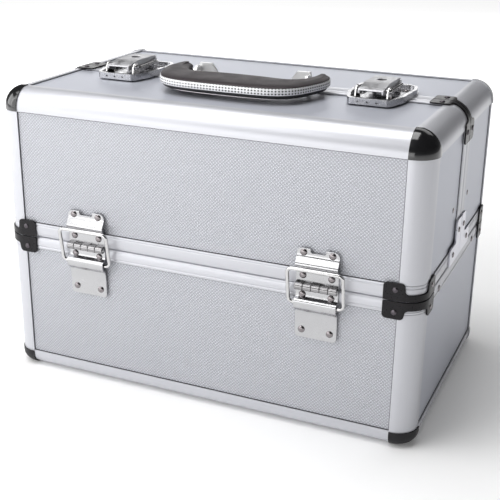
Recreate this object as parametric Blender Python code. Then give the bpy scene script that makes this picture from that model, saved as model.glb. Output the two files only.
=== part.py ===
"""Makeup train case: a rigid aluminium-edged case whose top is split into a
front lid and a rear lid.  Both lids swing outwards on ring hinges at mid height
and lift two cantilever trays each.  Units are metres in Blender, millimetres in
the constants below.  X is the width, the front faces -Y, +Z is up, and the
origin is the middle of the footprint on the surface the case stands on."""

import bpy
import bmesh
import math
from mathutils import Matrix, Vector

MM = 0.001

# ---------------------------------------------------------------- dimensions
W, D, H = 365.0, 226.0, 250.0        # outside of the case body
HW, HD = W / 2, D / 2
SEAM = 124.0                         # height of the joint between base and lids
GAP = 0.15                           # half of the gap at that joint
LEG = 18.5                           # leg of the rounded edge extrusion
R_EDGE = 17.0                        # its outer radius
REC = 1.2                            # the board case sits this far inside the extrusions
WALL = 6.0                           # outer face to inner face of a wall
LIP = 0.9                            # thickness of an extrusion
LID_BAND = 12.3                      # height of the lid's rim extrusion
BASE_BAND = 10.3                     # height of the base's rim extrusion
BOT_LEG, R_BOT = 13.0, 9.0           # bottom edge extrusion
CAP_OUT, CAP_IN = 0.9, 0.25          # corner caps stand proud of the extrusions: outer, inner face

HINGE_X = 101.5                      # centre of each ring hinge
LEAF_W = 34.0                        # width of a hinge leaf
PIN_U, PIN_R = 4.0, 1.5              # hinge pin: distance off the face, radius
RING_Q = (3.4, 110.0)                # pivot of the ring (out, up)
RING_L, RING_TILT = 29.5, 8.97       # length of the ring, its tilt when closed
RING_W, RING_R = 44.5, 1.5           # ring width on centre, wire radius
LEAF_T = 1.2

ARM_BASE = (61.0, 117.5)             # arm pivot on the base (distance from y=0, z)
LID_PIVOT = (65.0, 170.0)            # upper tray pivot on the lid
LID_PIVOT_MID = (91.0, 147.0)        # lower tray pivot on the lid
LINK = (56.0, -6.5)                  # lid pivot to arm pivot on every tray (in, up)

LATCH_X = 112.0                      # centre of each latch
LEVER_PIVOT = (-30.0, 259.5)         # latch lever pivot (y, z)
LOCK_Y = -6.5                        # key cylinder centre
HANDLE_PIVOT = (-9.0, 257.0)         # handle pivot (y, z)

# ------------------------------------------------------------------ clearing
for ob in list(bpy.data.objects):
    bpy.data.objects.remove(ob, do_unlink=True)
for me in list(bpy.data.meshes):
    bpy.data.meshes.remove(me)

# ----------------------------------------------------------------- materials


def material(name, rgb, rough, metal):
    m = bpy.data.materials.new(name)
    m.use_nodes = True
    b = m.node_tree.nodes["Principled BSDF"]
    b.inputs["Base Color"].default_value = (*rgb, 1.0)
    b.inputs["Roughness"].default_value = rough
    b.inputs["Metallic"].default_value = metal
    m.diffuse_color = (*rgb, 1.0)
    return m


DOTTED = material("embossed_aluminium_sheet", (0.66, 0.67, 0.71), 0.42, 0.85)
SATIN = material("satin_aluminium_sheet", (0.62, 0.64, 0.69), 0.40, 0.85)
EXTRUSION = material("anodised_extrusion", (0.72, 0.73, 0.74), 0.33, 0.9)
CAP_GLOSS = material("gloss_black_plastic", (0.012, 0.012, 0.014), 0.12, 0.0)
CAP_MATT = material("matt_black_plastic", (0.03, 0.03, 0.034), 0.45, 0.0)
BLACK_STEEL = material("black_painted_steel", (0.02, 0.019, 0.02), 0.35, 0.2)
CHROME = material("chrome_plate", (0.80, 0.80, 0.81), 0.10, 1.0)
ZINC = material("zinc_plate", (0.60, 0.61, 0.66), 0.32, 1.0)
RIVET_STEEL = material("rivet_steel", (0.62, 0.60, 0.58), 0.25, 1.0)
LINING = material("black_lining", (0.022, 0.022, 0.024), 0.9, 0.0)
TRAY = material("black_tray_board", (0.03, 0.03, 0.033), 0.6, 0.0)
LEATHER = material("dark_leatherette", (0.075, 0.066, 0.072), 0.55, 0.0)
WOVEN = material("silver_woven_band", (0.72, 0.71, 0.72), 0.4, 0.6)

# -------------------------------------------------------------------- bodies
BODY_ORIGIN = {
    "base": (0.0, 0.0, 0.0),
    "front_lid": (0.0, -(HD + PIN_U), SEAM),
    "rear_lid": (0.0, HD + PIN_U, SEAM),
    "front_rings": (0.0, -(HD + RING_Q[0]), RING_Q[1]),
    "rear_rings": (0.0, HD + RING_Q[0], RING_Q[1]),
    "front_arms": (0.0, -ARM_BASE[0], ARM_BASE[1]),
    "rear_arms": (0.0, ARM_BASE[0], ARM_BASE[1]),
    "front_upper_tray": (0.0, -LID_PIVOT[0], LID_PIVOT[1]),
    "front_lower_tray": (0.0, -LID_PIVOT_MID[0], LID_PIVOT_MID[1]),
    "rear_upper_tray": (0.0, LID_PIVOT[0], LID_PIVOT[1]),
    "rear_lower_tray": (0.0, LID_PIVOT_MID[0], LID_PIVOT_MID[1]),
    "left_latch": (-LATCH_X, LEVER_PIVOT[0], LEVER_PIVOT[1]),
    "right_latch": (LATCH_X, LEVER_PIVOT[0], LEVER_PIVOT[1]),
    "left_lock": (-LATCH_X, LOCK_Y, 261.0),
    "right_lock": (LATCH_X, LOCK_Y, 261.0),
    "handle": (0.0, HANDLE_PIVOT[0], HANDLE_PIVOT[1]),
}
EMPTY = {}
for body, place in BODY_ORIGIN.items():
    e = bpy.data.objects.new(body + "_axis", None)
    e.location = Vector(place) * MM
    bpy.context.scene.collection.objects.link(e)
    EMPTY[body] = e


# ------------------------------------------------------------------- helpers
def finish(bm):
    bmesh.ops.remove_doubles(bm, verts=bm.verts, dist=1e-4)
    bmesh.ops.recalc_face_normals(bm, faces=bm.faces)
    return bm


def node(name, bm, body, mat, angle=35.0):
    """Make one named object from a mesh drawn in case millimetres."""
    org = Vector(BODY_ORIGIN[body])
    for v in bm.verts:
        v.co = (v.co - org) * MM
    me = bpy.data.meshes.new(name)
    bm.to_mesh(me)
    bm.free()
    me.materials.append(mat)
    me.shade_smooth()
    me.set_sharp_from_angle(angle=math.radians(angle))
    ob = bpy.data.objects.new(name, me)
    bpy.context.scene.collection.objects.link(ob)
    ob.parent = EMPTY[body]
    return ob


def join(*parts):
    """Put several closed bodies into one mesh."""
    out = bmesh.new()
    for p in parts:
        me = bpy.data.meshes.new("tmp")
        p.to_mesh(me)
        p.free()
        out.from_mesh(me)
        bpy.data.meshes.remove(me)
    return out


def copy(bm):
    return bm.copy()


def mirror(bm, axis):
    """A mirrored copy with its faces still pointing out."""
    c = bm.copy()
    s = [1, 1, 1]
    s["xyz".index(axis)] = -1
    bmesh.ops.transform(c, matrix=Matrix.Diagonal((*s, 1)), verts=c.verts)
    bmesh.ops.reverse_faces(c, faces=c.faces)
    return c


def moved(bm, x=0, y=0, z=0):
    c = bm.copy()
    bmesh.ops.translate(c, vec=(x, y, z), verts=c.verts)
    return c


def pair(bm, axis):
    m = mirror(bm, axis)
    return join(bm, m)


def prism(poly, axis, lo, hi):
    """Extrude a closed outline along an axis.  The outline's two numbers are
    the other two axes in X, Y, Z order."""
    bm = bmesh.new()
    i = "xyz".index(axis)
    rows = []
    for t in (lo, hi):
        row = []
        for a, b in poly:
            c = [a, b]
            c.insert(i, t)
            row.append(bm.verts.new(c))
        rows.append(row)
    bm.faces.new(rows[0])
    bm.faces.new(rows[1][::-1])
    n = len(poly)
    for k in range(n):
        bm.faces.new((rows[0][k], rows[1][k], rows[1][(k + 1) % n], rows[0][(k + 1) % n]))
    bmesh.ops.recalc_face_normals(bm, faces=bm.faces)
    return bm


def box(x0, x1, y0, y1, z0, z1):
    return prism([(x0, y0), (x1, y0), (x1, y1), (x0, y1)], "z", z0, z1)


def arc(cx, cy, r, a0, a1, n):
    return [(cx + r * math.cos(math.radians(a0 + (a1 - a0) * k / n)),
             cy + r * math.sin(math.radians(a0 + (a1 - a0) * k / n))) for k in range(n + 1)]


def cylinder(axis, c, r, lo, hi, n=12, chamfer=0.0):
    """A round bar along an axis; c holds its other two coordinates."""
    if chamfer <= 0:
        return prism(arc(c[0], c[1], r, 0, 360 * (n - 1) / n, n - 1), axis, lo, hi)
    bm = bmesh.new()
    i = "xyz".index(axis)
    rows = []
    for t, rr in ((lo, r), (hi - chamfer, r), (hi, r - chamfer)):
        row = []
        for a, b in arc(c[0], c[1], rr, 0, 360 * (n - 1) / n, n - 1):
            q = [a, b]
            q.insert(i, t)
            row.append(bm.verts.new(q))
        rows.append(row)
    bm.faces.new(rows[0])
    bm.faces.new(rows[-1][::-1])
    for r0, r1 in zip(rows, rows[1:]):
        for k in range(n):
            bm.faces.new((r0[k], r1[k], r1[(k + 1) % n], r0[(k + 1) % n]))
    bmesh.ops.recalc_face_normals(bm, faces=bm.faces)
    return bm


def sweep(path, section, closed):
    """Sweep a section along a path of (point, inward, up) frames.  The section
    is a closed outline of (inward, up) pairs."""
    bm = bmesh.new()
    rows = []
    for p, n, u in path:
        p, n, u = Vector(p), Vector(n), Vector(u)
        rows.append([bm.verts.new(p + n * a + u * b) for a, b in section])
    m = len(section)
    last = len(rows) if closed else len(rows) - 1
    for k in range(last):
        r0, r1 = rows[k], rows[(k + 1) % len(rows)]
        for j in range(m):
            bm.faces.new((r0[j], r1[j], r1[(j + 1) % m], r0[(j + 1) % m]))
    if not closed:
        bm.faces.new(rows[0])
        bm.faces.new(rows[-1][::-1])
    bmesh.ops.recalc_face_normals(bm, faces=bm.faces)
    return bm


def tmp_object(bm):
    me = bpy.data.meshes.new("tmp")
    bm.to_mesh(me)
    bm.free()
    ob = bpy.data.objects.new("tmp", me)
    bpy.context.scene.collection.objects.link(ob)
    return ob


def boolean(a, b, op):
    """Exact Boolean of two closed meshes, worked in millimetres."""
    oa, ob = tmp_object(a), tmp_object(b)
    mod = oa.modifiers.new("cut", "BOOLEAN")
    mod.operation = op
    mod.solver = "EXACT"
    mod.object = ob
    dg = bpy.context.evaluated_depsgraph_get()
    dg.update()
    me = bpy.data.meshes.new_from_object(oa.evaluated_get(dg))
    out = bmesh.new()
    out.from_mesh(me)
    for o in (oa, ob):
        m = o.data
        bpy.data.objects.remove(o, do_unlink=True)
        bpy.data.meshes.remove(m)
    bpy.data.meshes.remove(me)
    bmesh.ops.dissolve_degenerate(out, edges=out.edges, dist=1e-4)
    bmesh.ops.remove_doubles(out, verts=out.verts, dist=1e-4)
    return out


def union(*parts):
    out = parts[0]
    for p in parts[1:]:
        out = boolean(out, p, "UNION")
    return out


def cut(a, *tools):
    for t in tools:
        a = boolean(a, t, "DIFFERENCE")
    return a


def rivet(c, n, r=2.2, h=1.1, seg=6):
    """A low domed rivet head on a point c with outward normal n."""
    c, n = Vector(c), Vector(n).normalized()
    t = Vector((0, 0, 1)) if abs(n.z) < 0.5 else Vector((1, 0, 0))
    a = n.cross(t).normalized()
    b = n.cross(a)
    bm = bmesh.new()
    rows = []
    for z, rr in ((0.0, r), (h, 0.6 * r)):
        rows.append([bm.verts.new(c + n * z + (a * math.cos(2 * math.pi * k / seg)
                                              + b * math.sin(2 * math.pi * k / seg)) * rr)
                     for k in range(seg)])
    bm.faces.new(rows[0])
    bm.faces.new(rows[-1][::-1])
    for r0, r1 in zip(rows, rows[1:]):
        for k in range(seg):
            bm.faces.new((r0[k], r1[k], r1[(k + 1) % seg], r0[(k + 1) % seg]))
    bmesh.ops.recalc_face_normals(bm, faces=bm.faces)
    return bm


def rounded_block(x, y0, y1, z0, z1, edges, r, seg=4, bottom_r=0.0, bottom_seg=2):
    """A box with some of its edges rounded.  Faces are named front, rear, left,
    right, top; an edge is rounded where both of its faces are in the set."""
    bm = bmesh.new()
    bmesh.ops.create_cube(bm, size=1.0)
    for v in bm.verts:
        v.co = Vector((-x if v.co.x < 0 else x, y0 if v.co.y < 0 else y1, z0 if v.co.z < 0 else z1))
    tests = {"left": (0, -x), "right": (0, x), "front": (1, y0), "rear": (1, y1), "top": (2, z1)}

    def on(e, name):
        i, c = tests[name]
        return all(abs(v.co[i] - c) < 1e-3 for v in e.verts)
    chosen = [e for e in bm.edges if sum(on(e, n) for n in edges) == 2]
    bmesh.ops.bevel(bm, geom=chosen, offset=r, segments=seg, profile=0.5, affect="EDGES")
    if bottom_r:
        low = [e for e in bm.edges if all(abs(v.co.z - z0) < 1e-3 for v in e.verts)]
        bmesh.ops.bevel(bm, geom=low, offset=bottom_r, segments=bottom_seg, profile=0.5, affect="EDGES")
    bmesh.ops.recalc_face_normals(bm, faces=bm.faces)
    return bm


# ================================================================== the base
Z0 = 1.2                                   # underside of the bottom extrusions
BAND0 = SEAM - GAP - BASE_BAND             # bottom of the base rim
CARCASS_TOP = SEAM - 5.5
AROUND = ("front", "rear", "left", "right")


def base_block(d, z1, bottom=True):
    return rounded_block(HW - d, -HD + d, HD - d, Z0 + d, z1, AROUND, R_EDGE - d, 4,
                         max(R_BOT - d, 0.0) if bottom else 0.0)


def base_carcass():
    """Board box: four walls and the bottom, with rounded corners."""
    inner = rounded_block(HW - WALL, -HD + WALL, HD - WALL, Z0 + WALL, CARCASS_TOP + 9, AROUND, R_EDGE - WALL)
    return cut(base_block(REC, CARCASS_TOP), inner)


def base_lower_frame():
    """Corner posts and bottom rails, rounded sheet joined at the foot corners."""
    shell = cut(base_block(0.0, BAND0 - 0.3), base_block(LIP, BAND0 + 9))
    x, y = HW - LEG, HD - LEG
    zb = Z0 + BOT_LEG
    windows = join(box(-x, x, -HD - 1, -HD + 5, zb, 200), box(-x, x, HD - 5, HD + 1, zb, 200),
                   box(-HW - 1, -HW + 5, -y, y, zb, 200), box(HW - 5, HW + 1, -y, y, zb, 200),
                   box(-HW + BOT_LEG, HW - BOT_LEG, -HD + BOT_LEG, HD - BOT_LEG, -1, 5))
    return cut(shell, windows)


def plan_ring(n=4):
    """Outer line of the case in plan, anticlockwise, with inward normals."""
    out = []
    for cx, cy, a0 in ((HW - R_EDGE, -HD + R_EDGE, -90), (HW - R_EDGE, HD - R_EDGE, 0),
                       (-HW + R_EDGE, HD - R_EDGE, 90), (-HW + R_EDGE, -HD + R_EDGE, 180)):
        for k in range(n + 1):
            a = math.radians(a0 + 90 * k / n)
            c, s = math.cos(a), math.sin(a)
            out.append(((cx + R_EDGE * c, cy + R_EDGE * s, 0), (-c, -s, 0), (0, 0, 1)))
    return out


def base_rim():
    z1 = SEAM - GAP
    sec = [(0, BAND0), (LIP, BAND0), (LIP, CARCASS_TOP + 0.3), (WALL, CARCASS_TOP + 0.3),
           (WALL, z1), (0.6, z1), (0, z1 - 0.6)]
    return sweep(plan_ring(), sec, True)


def base_cap():
    """Moulded corner at the foot of the case; the case stands on four of them."""
    a, top = LEG, BOT_LEG + Z0 - 0.9

    def block(d, z0, hi, zhi):
        bm = bmesh.new()
        bmesh.ops.create_cube(bm, size=1.0)
        for v in bm.verts:
            v.co = Vector((d if v.co.x < 0 else hi, d if v.co.y < 0 else hi, z0 if v.co.z < 0 else zhi))
        e = [e for e in bm.edges if all(abs(v.co.x - d) < 1e-3 and abs(v.co.y - d) < 1e-3 for v in e.verts)]
        bmesh.ops.bevel(bm, geom=e, offset=R_EDGE - d, segments=4, profile=0.5, affect="EDGES")
        e = [e for e in bm.edges if all(abs(v.co.z - z0) < 1e-3 for v in e.verts)
             and not all(abs(v.co.x - hi) < 1e-3 for v in e.verts)
             and not all(abs(v.co.y - hi) < 1e-3 for v in e.verts)]
        bmesh.ops.bevel(bm, geom=e, offset=R_BOT - d, segments=2, profile=0.5, affect="EDGES")
        bmesh.ops.recalc_face_normals(bm, faces=bm.faces)
        return bm
    cap = cut(block(-CAP_OUT, 0.0, a, top), block(-CAP_IN, Z0 - CAP_IN, a + 2, top + 2))
    bmesh.ops.transform(cap, matrix=Matrix.Translation((-HW, -HD, 0)), verts=cap.verts)
    return cap


# ================================================================== the lids
# Every lid piece is drawn for the front lid, and mirrored for the rear lid.
LID_Z0 = SEAM + GAP
LID_Z1 = LID_Z0 + LID_BAND
SEAM_Y = -GAP                              # the lid's edge at the middle seam
SEAM_BAND = 12.0
lid_panel_z0 = LID_Z0 + 7.6
lid_panel_y1 = SEAM_Y - 7.6
LID_EDGES = ("front", "left", "right", "top")


def lid_block(d, y1, z0):
    return rounded_block(HW - d, -HD + d, y1, z0, H - d, LID_EDGES, R_EDGE - d)


def lid_carcass():
    """Board shell of a lid: front, top and both sides, with the pivot plates of
    the trays on the inside of each side."""
    shell = cut(lid_block(REC, lid_panel_y1, lid_panel_z0), lid_block(WALL, 20.0, 100.0))
    a, b = (-LID_PIVOT[0], LID_PIVOT[1]), (-LID_PIVOT_MID[0], LID_PIVOT_MID[1])
    plate = prism(bar_outline((b, a), 6.0), "x", BR_X0, HW - WALL + 1.0)
    for c in (a, b):
        plate = union(plate, cylinder("x", c, PIN, 168.9, BR_X0 + 1.0, 8))
    other = mirror(plate, "x")
    return union(shell, plate, other)


def lid_edge_frame():
    """Rounded sheet edges of a lid: front top, two uprights and two side tops."""
    y1, z0 = SEAM_Y - SEAM_BAND - 0.3, LID_Z1 + 0.3
    shell = cut(lid_block(0.0, y1, z0), lid_block(LIP, y1 + 20, z0 - 20))
    x, y, z = HW - LEG, -HD + LEG, H - LEG
    windows = join(box(-x, x, -HD - 1, -HD + 5, 100, z), box(-x, x, y, 30, H - 5, H + 1),
                   box(-HW - 1, -HW + 5, y, 30, 100, z), box(HW - 5, HW + 1, y, 30, 100, z))
    return cut(shell, windows)


def lid_cap():
    """Moulded corner cap where three edges meet, left front."""
    def block(d, hi):
        bm = bmesh.new()
        bmesh.ops.create_cube(bm, size=1.0)
        for v in bm.verts:
            v.co = Vector([d if c < 0 else hi for c in v.co])
        e = [e for e in bm.edges
             if sum(all(abs(v.co[i] - d) < 1e-3 for v in e.verts) for i in range(3)) == 2]
        bmesh.ops.bevel(bm, geom=e, offset=R_EDGE - d, segments=4, profile=0.5, affect="EDGES")
        bmesh.ops.recalc_face_normals(bm, faces=bm.faces)
        return bm
    cap = cut(block(-CAP_OUT, LEG), block(-CAP_IN, LEG + 3))
    m = Matrix.Translation((-HW, -HD, H)) @ Matrix.Diagonal((1, 1, -1, 1))
    bmesh.ops.transform(cap, matrix=m, verts=cap.verts)
    bmesh.ops.reverse_faces(cap, faces=cap.faces)
    return cap


def lid_rim():
    n = 4
    path = [((-HW, SEAM_Y, 0), (1, 0, 0), (0, 0, 1))]
    for cx, a0 in ((-HW + R_EDGE, 180), (HW - R_EDGE, 270)):
        for k in range(n + 1):
            a = math.radians(a0 + 90 * k / n)
            c, s = math.cos(a), math.sin(a)
            path.append(((cx + R_EDGE * c, -HD + R_EDGE + R_EDGE * s, 0), (-c, -s, 0), (0, 0, 1)))
    path.append(((HW, SEAM_Y, 0), (-1, 0, 0), (0, 0, 1)))
    zi = lid_panel_z0 - 0.3
    sec = [(0, LID_Z1), (LIP, LID_Z1), (LIP, zi), (WALL, zi), (WALL, LID_Z0), (0.6, LID_Z0), (0, LID_Z0 + 0.6)]
    return sweep(path, sec, False)


def lid_seam_frame():
    n = 4
    path = [((-HW, 0, LID_Z0 + 2.0), (1, 0, 0), (0, 1, 0))]
    for cx, a0 in ((-HW + R_EDGE, 180), (HW - R_EDGE, 90)):
        for k in range(n + 1):
            a = math.radians(a0 - 90 * k / n)
            c, s = math.cos(a), math.sin(a)
            path.append(((cx + R_EDGE * c, 0, H - R_EDGE + R_EDGE * s), (-c, 0, -s), (0, 1, 0)))
    path.append(((HW, 0, LID_Z0 + 2.0), (-1, 0, 0), (0, 1, 0)))
    yi = lid_panel_y1 + 0.3
    sec = [(0, SEAM_Y - SEAM_BAND), (LIP, SEAM_Y - SEAM_BAND), (LIP, yi), (WALL, yi),
           (WALL, SEAM_Y), (0.6, SEAM_Y), (0, SEAM_Y - 0.6)]
    return sweep(path, sec, False)


# Black corner brackets: a plate on each face and a narrow strip round the bend.
BR_T = 1.3


def bracket_strip(edge, strip, plate, up):
    """A plate on each face, joined by a narrow strip round the bend: a ribbon
    whose straight edge lies at height edge, and whose other edge steps between
    the strip's height and the plate's.  The bend is in the x-y plane."""
    g, r = 0.3, R_EDGE
    sgn = 1 if up else -1

    def at(s):
        """Point and outward normal a distance s from the middle of the bend."""
        half = r * math.pi / 4
        t = abs(s)
        if t >= half:
            p, q = (r + t - half, 0.0), (0.0, -1.0)
        else:
            a = math.radians(225) + t / r
            p, q = (r + r * math.cos(a), r + r * math.sin(a)), (math.cos(a), math.sin(a))
        return (p, q) if s <= 0 else (p[::-1], q[::-1])
    half = r * math.pi / 4
    far, near = PL1 - r + half, PL0 - r + half
    steps = [(far, plate - 2.5), (far - 2.5, plate), (half, plate), (near + 2.5, plate), (near, plate - 2.5),
             (near - 0.4, strip), (half / 2, strip)]
    line = [(-d, h) for d, h in steps] + [(0.0, strip)] + [(d, h) for d, h in steps[::-1]]
    bm = bmesh.new()
    rows = []
    for d, h in line:
        p, q = at(d)
        rows.append([bm.verts.new((p[0] + q[0] * o, p[1] + q[1] * o, edge + sgn * z))
                     for o, z in ((g, 0), (g + BR_T, 0), (g + BR_T, h), (g, h))])
    for r0, r1 in zip(rows, rows[1:]):
        for j in range(4):
            bm.faces.new((r0[j], r1[j], r1[(j + 1) % 4], r0[(j + 1) % 4]))
    bm.faces.new(rows[0])
    bm.faces.new(rows[-1][::-1])
    bmesh.ops.recalc_face_normals(bm, faces=bm.faces)
    return bm


PL0, PL1 = 13.5, 30.0                      # plate from the corner along the face
PL_H = 14.0                                # plate height either side of the seam
ST_H = 5.0                                 # strip height


def upright_bracket(lid):
    """At a vertical corner, above (lid) or below (base) the seam; drawn for the
    left front corner in case coordinates."""
    if lid:
        b = bracket_strip(LID_Z0 + 0.3, ST_H, PL_H, True)
    else:
        b = bracket_strip(SEAM - GAP - 0.3, ST_H + 1.5, PL_H, False)
    bmesh.ops.transform(b, matrix=Matrix.Translation((-HW, -HD, 0)), verts=b.verts)
    return b


def top_bracket():
    """Over the bend at the left end of the middle seam, on the front lid's side."""
    b = bracket_strip(SEAM_Y - 0.3, ST_H, PL_H, False)
    # local: x along the top from the left side, y down the side, z = case y
    m = Matrix(((1, 0, 0, -HW), (0, 0, 1, 0), (0, -1, 0, H), (0, 0, 0, 1)))
    bmesh.ops.transform(b, matrix=m, verts=b.verts)
    bmesh.ops.recalc_face_normals(b, faces=b.faces)
    return b


def with_rivets(bm, places, r=2.0, h=0.9):
    """Join rivet heads, sunk 0.2 into the sheet, to a plate."""
    for c, n in places:
        c = Vector(c) - Vector(n) * 0.2
        bm = union(bm, rivet(c, n, r, h + 0.2))
    return bm


BR_M = (PL0 + PL1) / 2 - 1.0               # rivet position on a bracket
BR_OUT = 0.3 + BR_T


def riveted_upright_bracket(lid):
    z = LID_Z0 + 8.8 if lid else SEAM - GAP - 8.8
    return with_rivets(upright_bracket(lid), [((-HW + BR_M, -HD - BR_OUT, z), (0, -1, 0)),
                                              ((-HW - BR_OUT, -HD + BR_M, z), (-1, 0, 0))])


def riveted_top_bracket():
    return with_rivets(top_bracket(), [((-HW + BR_M, SEAM_Y - 8.3, H + BR_OUT), (0, 0, 1)),
                                       ((-HW - BR_OUT, SEAM_Y - 8.3, H - BR_M), (-1, 0, 0))])


def lid_joint_plate():
    """Flat inverted L plate that ties the rim to the seam frame, right side."""
    t = 1.5
    out = [(-0.6, LID_Z0 + 0.8), (-0.6, 156.5), (-3.0, 158.5), (-13.0, 158.5), (-15.5, 156.0), (-15.5, 142.0),
           (-18.5, 139.5), (-32.5, 139.5), (-34.5, 137.5), (-34.5, LID_Z0 + 2.8), (-32.5, LID_Z0 + 0.8)]
    # clear of the board between the rim and the frame
    p = prism(out, "x", HW - 0.4, HW + t)
    return with_rivets(p, [((HW + t, -8.5, 149.0), (1, 0, 0)), ((HW + t, -25.0, 132.8), (1, 0, 0))], 2.2)


def lid_mouth_frame():
    """The rim along the lower edge, the frame along the middle seam, and the L
    plates that hold them together."""
    plate = lid_joint_plate()
    other = mirror(plate, "x")
    return union(lid_rim(), lid_seam_frame(), plate, other)


def strip_outline(pts, t):
    """Closed outline of constant thickness round an open line of points."""
    left, right = [], []
    n = len(pts)
    for i, p in enumerate(pts):
        p = Vector(p)
        d0 = (p - Vector(pts[i - 1])).normalized() if i else None
        d1 = (Vector(pts[i + 1]) - p).normalized() if i < n - 1 else None
        a = d0 or d1
        b = d1 or d0
        m = (a + b).normalized()
        nrm = Vector((-m.y, m.x))
        k = t / 2 / max(0.5, nrm.dot(Vector((-a.y, a.x))))
        left.append(tuple(p + nrm * k))
        right.append(tuple(p - nrm * k))
    return left + right[::-1]


# hinge leaves, as (out, up) lines along the middle of the sheet
LID_LEAF = [(0.9, 154.2), (0.9, 148.0), (4.6, 142.4), (4.6, 140.4), (1.0, 137.4), (1.0, 128.0)]
BASE_LEAF = [(1.0, 120.0), (1.0, 114.8), (5.9, 112.8), (5.9, 107.2), (2.0, 103.4), (0.9, 95.5), (0.9, 80.5)]
KNUCKLE_R = 3.0
KNUCKLES = 5                               # along the width; the lid has the odd ones


def hinge_leaf(line, lid):
    """One leaf of a ring hinge on the front, at x = 0, with its rivet heads.
    The base leaf also holds the hinge pin."""
    half = LEAF_W / 2
    outline = [(-HD - u, z) for u, z in strip_outline(line, LEAF_T)]
    plate = prism(outline, "x", -half, half)
    # notch between the two top lobes of the lid leaf
    if lid:
        plate = cut(plate, box(-6.0, 6.0, -HD - 2.5, -HD + 1.5, 150.8, 156))
    py = -HD - PIN_U
    step = LEAF_W / KNUCKLES
    for k in range(KNUCKLES):
        if (k % 2 == 0) != lid:
            continue
        x0, x1 = -half + k * step + 0.2, -half + (k + 1) * step - 0.2
        z0, z1 = (SEAM + 0.5, SEAM + 5.0) if lid else (SEAM - 5.0, SEAM - 0.5)
        tail = box(x0, x1, -HD - 1.6, -HD - 0.4, z0, z1)
        roll = cylinder("x", (py, SEAM), KNUCKLE_R, x0, x1, 10)
        plate = union(plate, union(tail, roll))
    if lid:
        plate = cut(plate, cylinder("x", (py, SEAM), PIN_R + 0.35, -half - 1, half + 1, 8))
    else:
        plate = union(plate, cylinder("x", (py, SEAM), PIN_R, -half - 0.6, half + 0.6, 8))
    spots = ((151.0, 0.9), (132.6, 1.0)) if lid else ((116.9, 1.0), (87.2, 0.9))
    places = [((x, -HD - u - LEAF_T / 2, z), (0, -1, 0)) for z, u in spots for x in (-11.5, 11.5)]
    return with_rivets(plate, places, 2.7, 1.4)


def hinge_ring():
    """Wire ring: lower bar in the base leaf's hump, upper bar over the lid leaf."""
    a = math.radians(RING_TILT)
    q = Vector((0, -HD - RING_Q[0], RING_Q[1]))
    up = Vector((0, -math.sin(a), math.cos(a)))
    hx, r = RING_W / 2, 4.0
    line = []
    for cx, cz, a0 in ((hx - r, r, -90), (hx - r, RING_L - r, 0), (-hx + r, RING_L - r, 90), (-hx + r, r, 180)):
        for k in range(3):
            t = math.radians(a0 + 45 * k)
            line.append((Vector((cx + r * math.cos(t), cz + r * math.sin(t))), Vector((math.cos(t), math.sin(t)))))
    nrm = Vector((0, -math.cos(a), -math.sin(a)))
    path = []
    for p, n in line:
        pt = q + Vector((p.x, 0, 0)) + up * p.y
        path.append((tuple(pt), tuple(-(Vector((n.x, 0, 0)) + up * n.y)), tuple(nrm)))
    return sweep(path, arc(0, 0, RING_R, 0, 300, 5), True)


# ---------------------------------------------------------- trays and linkage
BR_X0, BR_X1 = 174.0, 175.4                # lid tray bracket plate
ARM_X0, ARM_X1 = 171.9, 173.6              # arm plate
TRAY_X = 171.2                             # tray end
PIN = 2.2


def bar_outline(points, r, n=5):
    """Rounded bar through two points."""
    (x0, y0), (x1, y1) = points
    a = math.degrees(math.atan2(y1 - y0, x1 - x0))
    return arc(x1, y1, r, a - 90, a + 90, n) + arc(x0, y0, r, a + 90, a + 270, n)


def tray_arm():
    """Arm from the base to both trays, on the right."""
    a = (-ARM_BASE[0], ARM_BASE[1])
    b = (-LID_PIVOT[0] + LINK[0], LID_PIVOT[1] + LINK[1])
    m = (-LID_PIVOT_MID[0] + LINK[0], LID_PIVOT_MID[1] + LINK[1])
    arm = prism(bar_outline((a, b), 5.5), "x", ARM_X0, ARM_X1)
    for c in (b, m):
        arm = union(arm, cylinder("x", c, PIN, 168.9, ARM_X1 - 0.4, 8))
    return union(arm, cylinder("x", a, PIN, ARM_X0 + 0.4, 175.9, 8))


def tray(y0, y1, z0, z1, holes):
    """An open tray with two dividers; holes in its ends take the pivot pins."""
    t, fl = 2.0, 1.8
    body = box(-TRAY_X, TRAY_X, y0, y1, z0, z1)
    cells = [(-TRAY_X + t, -62.0), (-60.0, 60.0), (62.0, TRAY_X - t)]
    body = cut(body, *[box(a, b, y0 + t, y1 - t, z0 + fl, z1 + 5) for a, b in cells])
    for c in holes:
        for s in (-1, 1):
            lo, hi = sorted((s * (TRAY_X - t - 1), s * (TRAY_X + 1)))
            body = cut(body, cylinder("x", c, PIN + 0.45, lo, hi, 8))
    return body


def trays():
    up = (-LID_PIVOT[0], LID_PIVOT[1])
    lo = (-LID_PIVOT_MID[0], LID_PIVOT_MID[1])
    upper = tray(-102.0, -4.0, 159.3, 183.0, [up, (up[0] + LINK[0], up[1] + LINK[1])])
    lower = tray(-100.0, -4.0, 136.0, 157.6, [lo, (lo[0] + LINK[0], lo[1] + LINK[1])])
    return upper, lower


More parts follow.
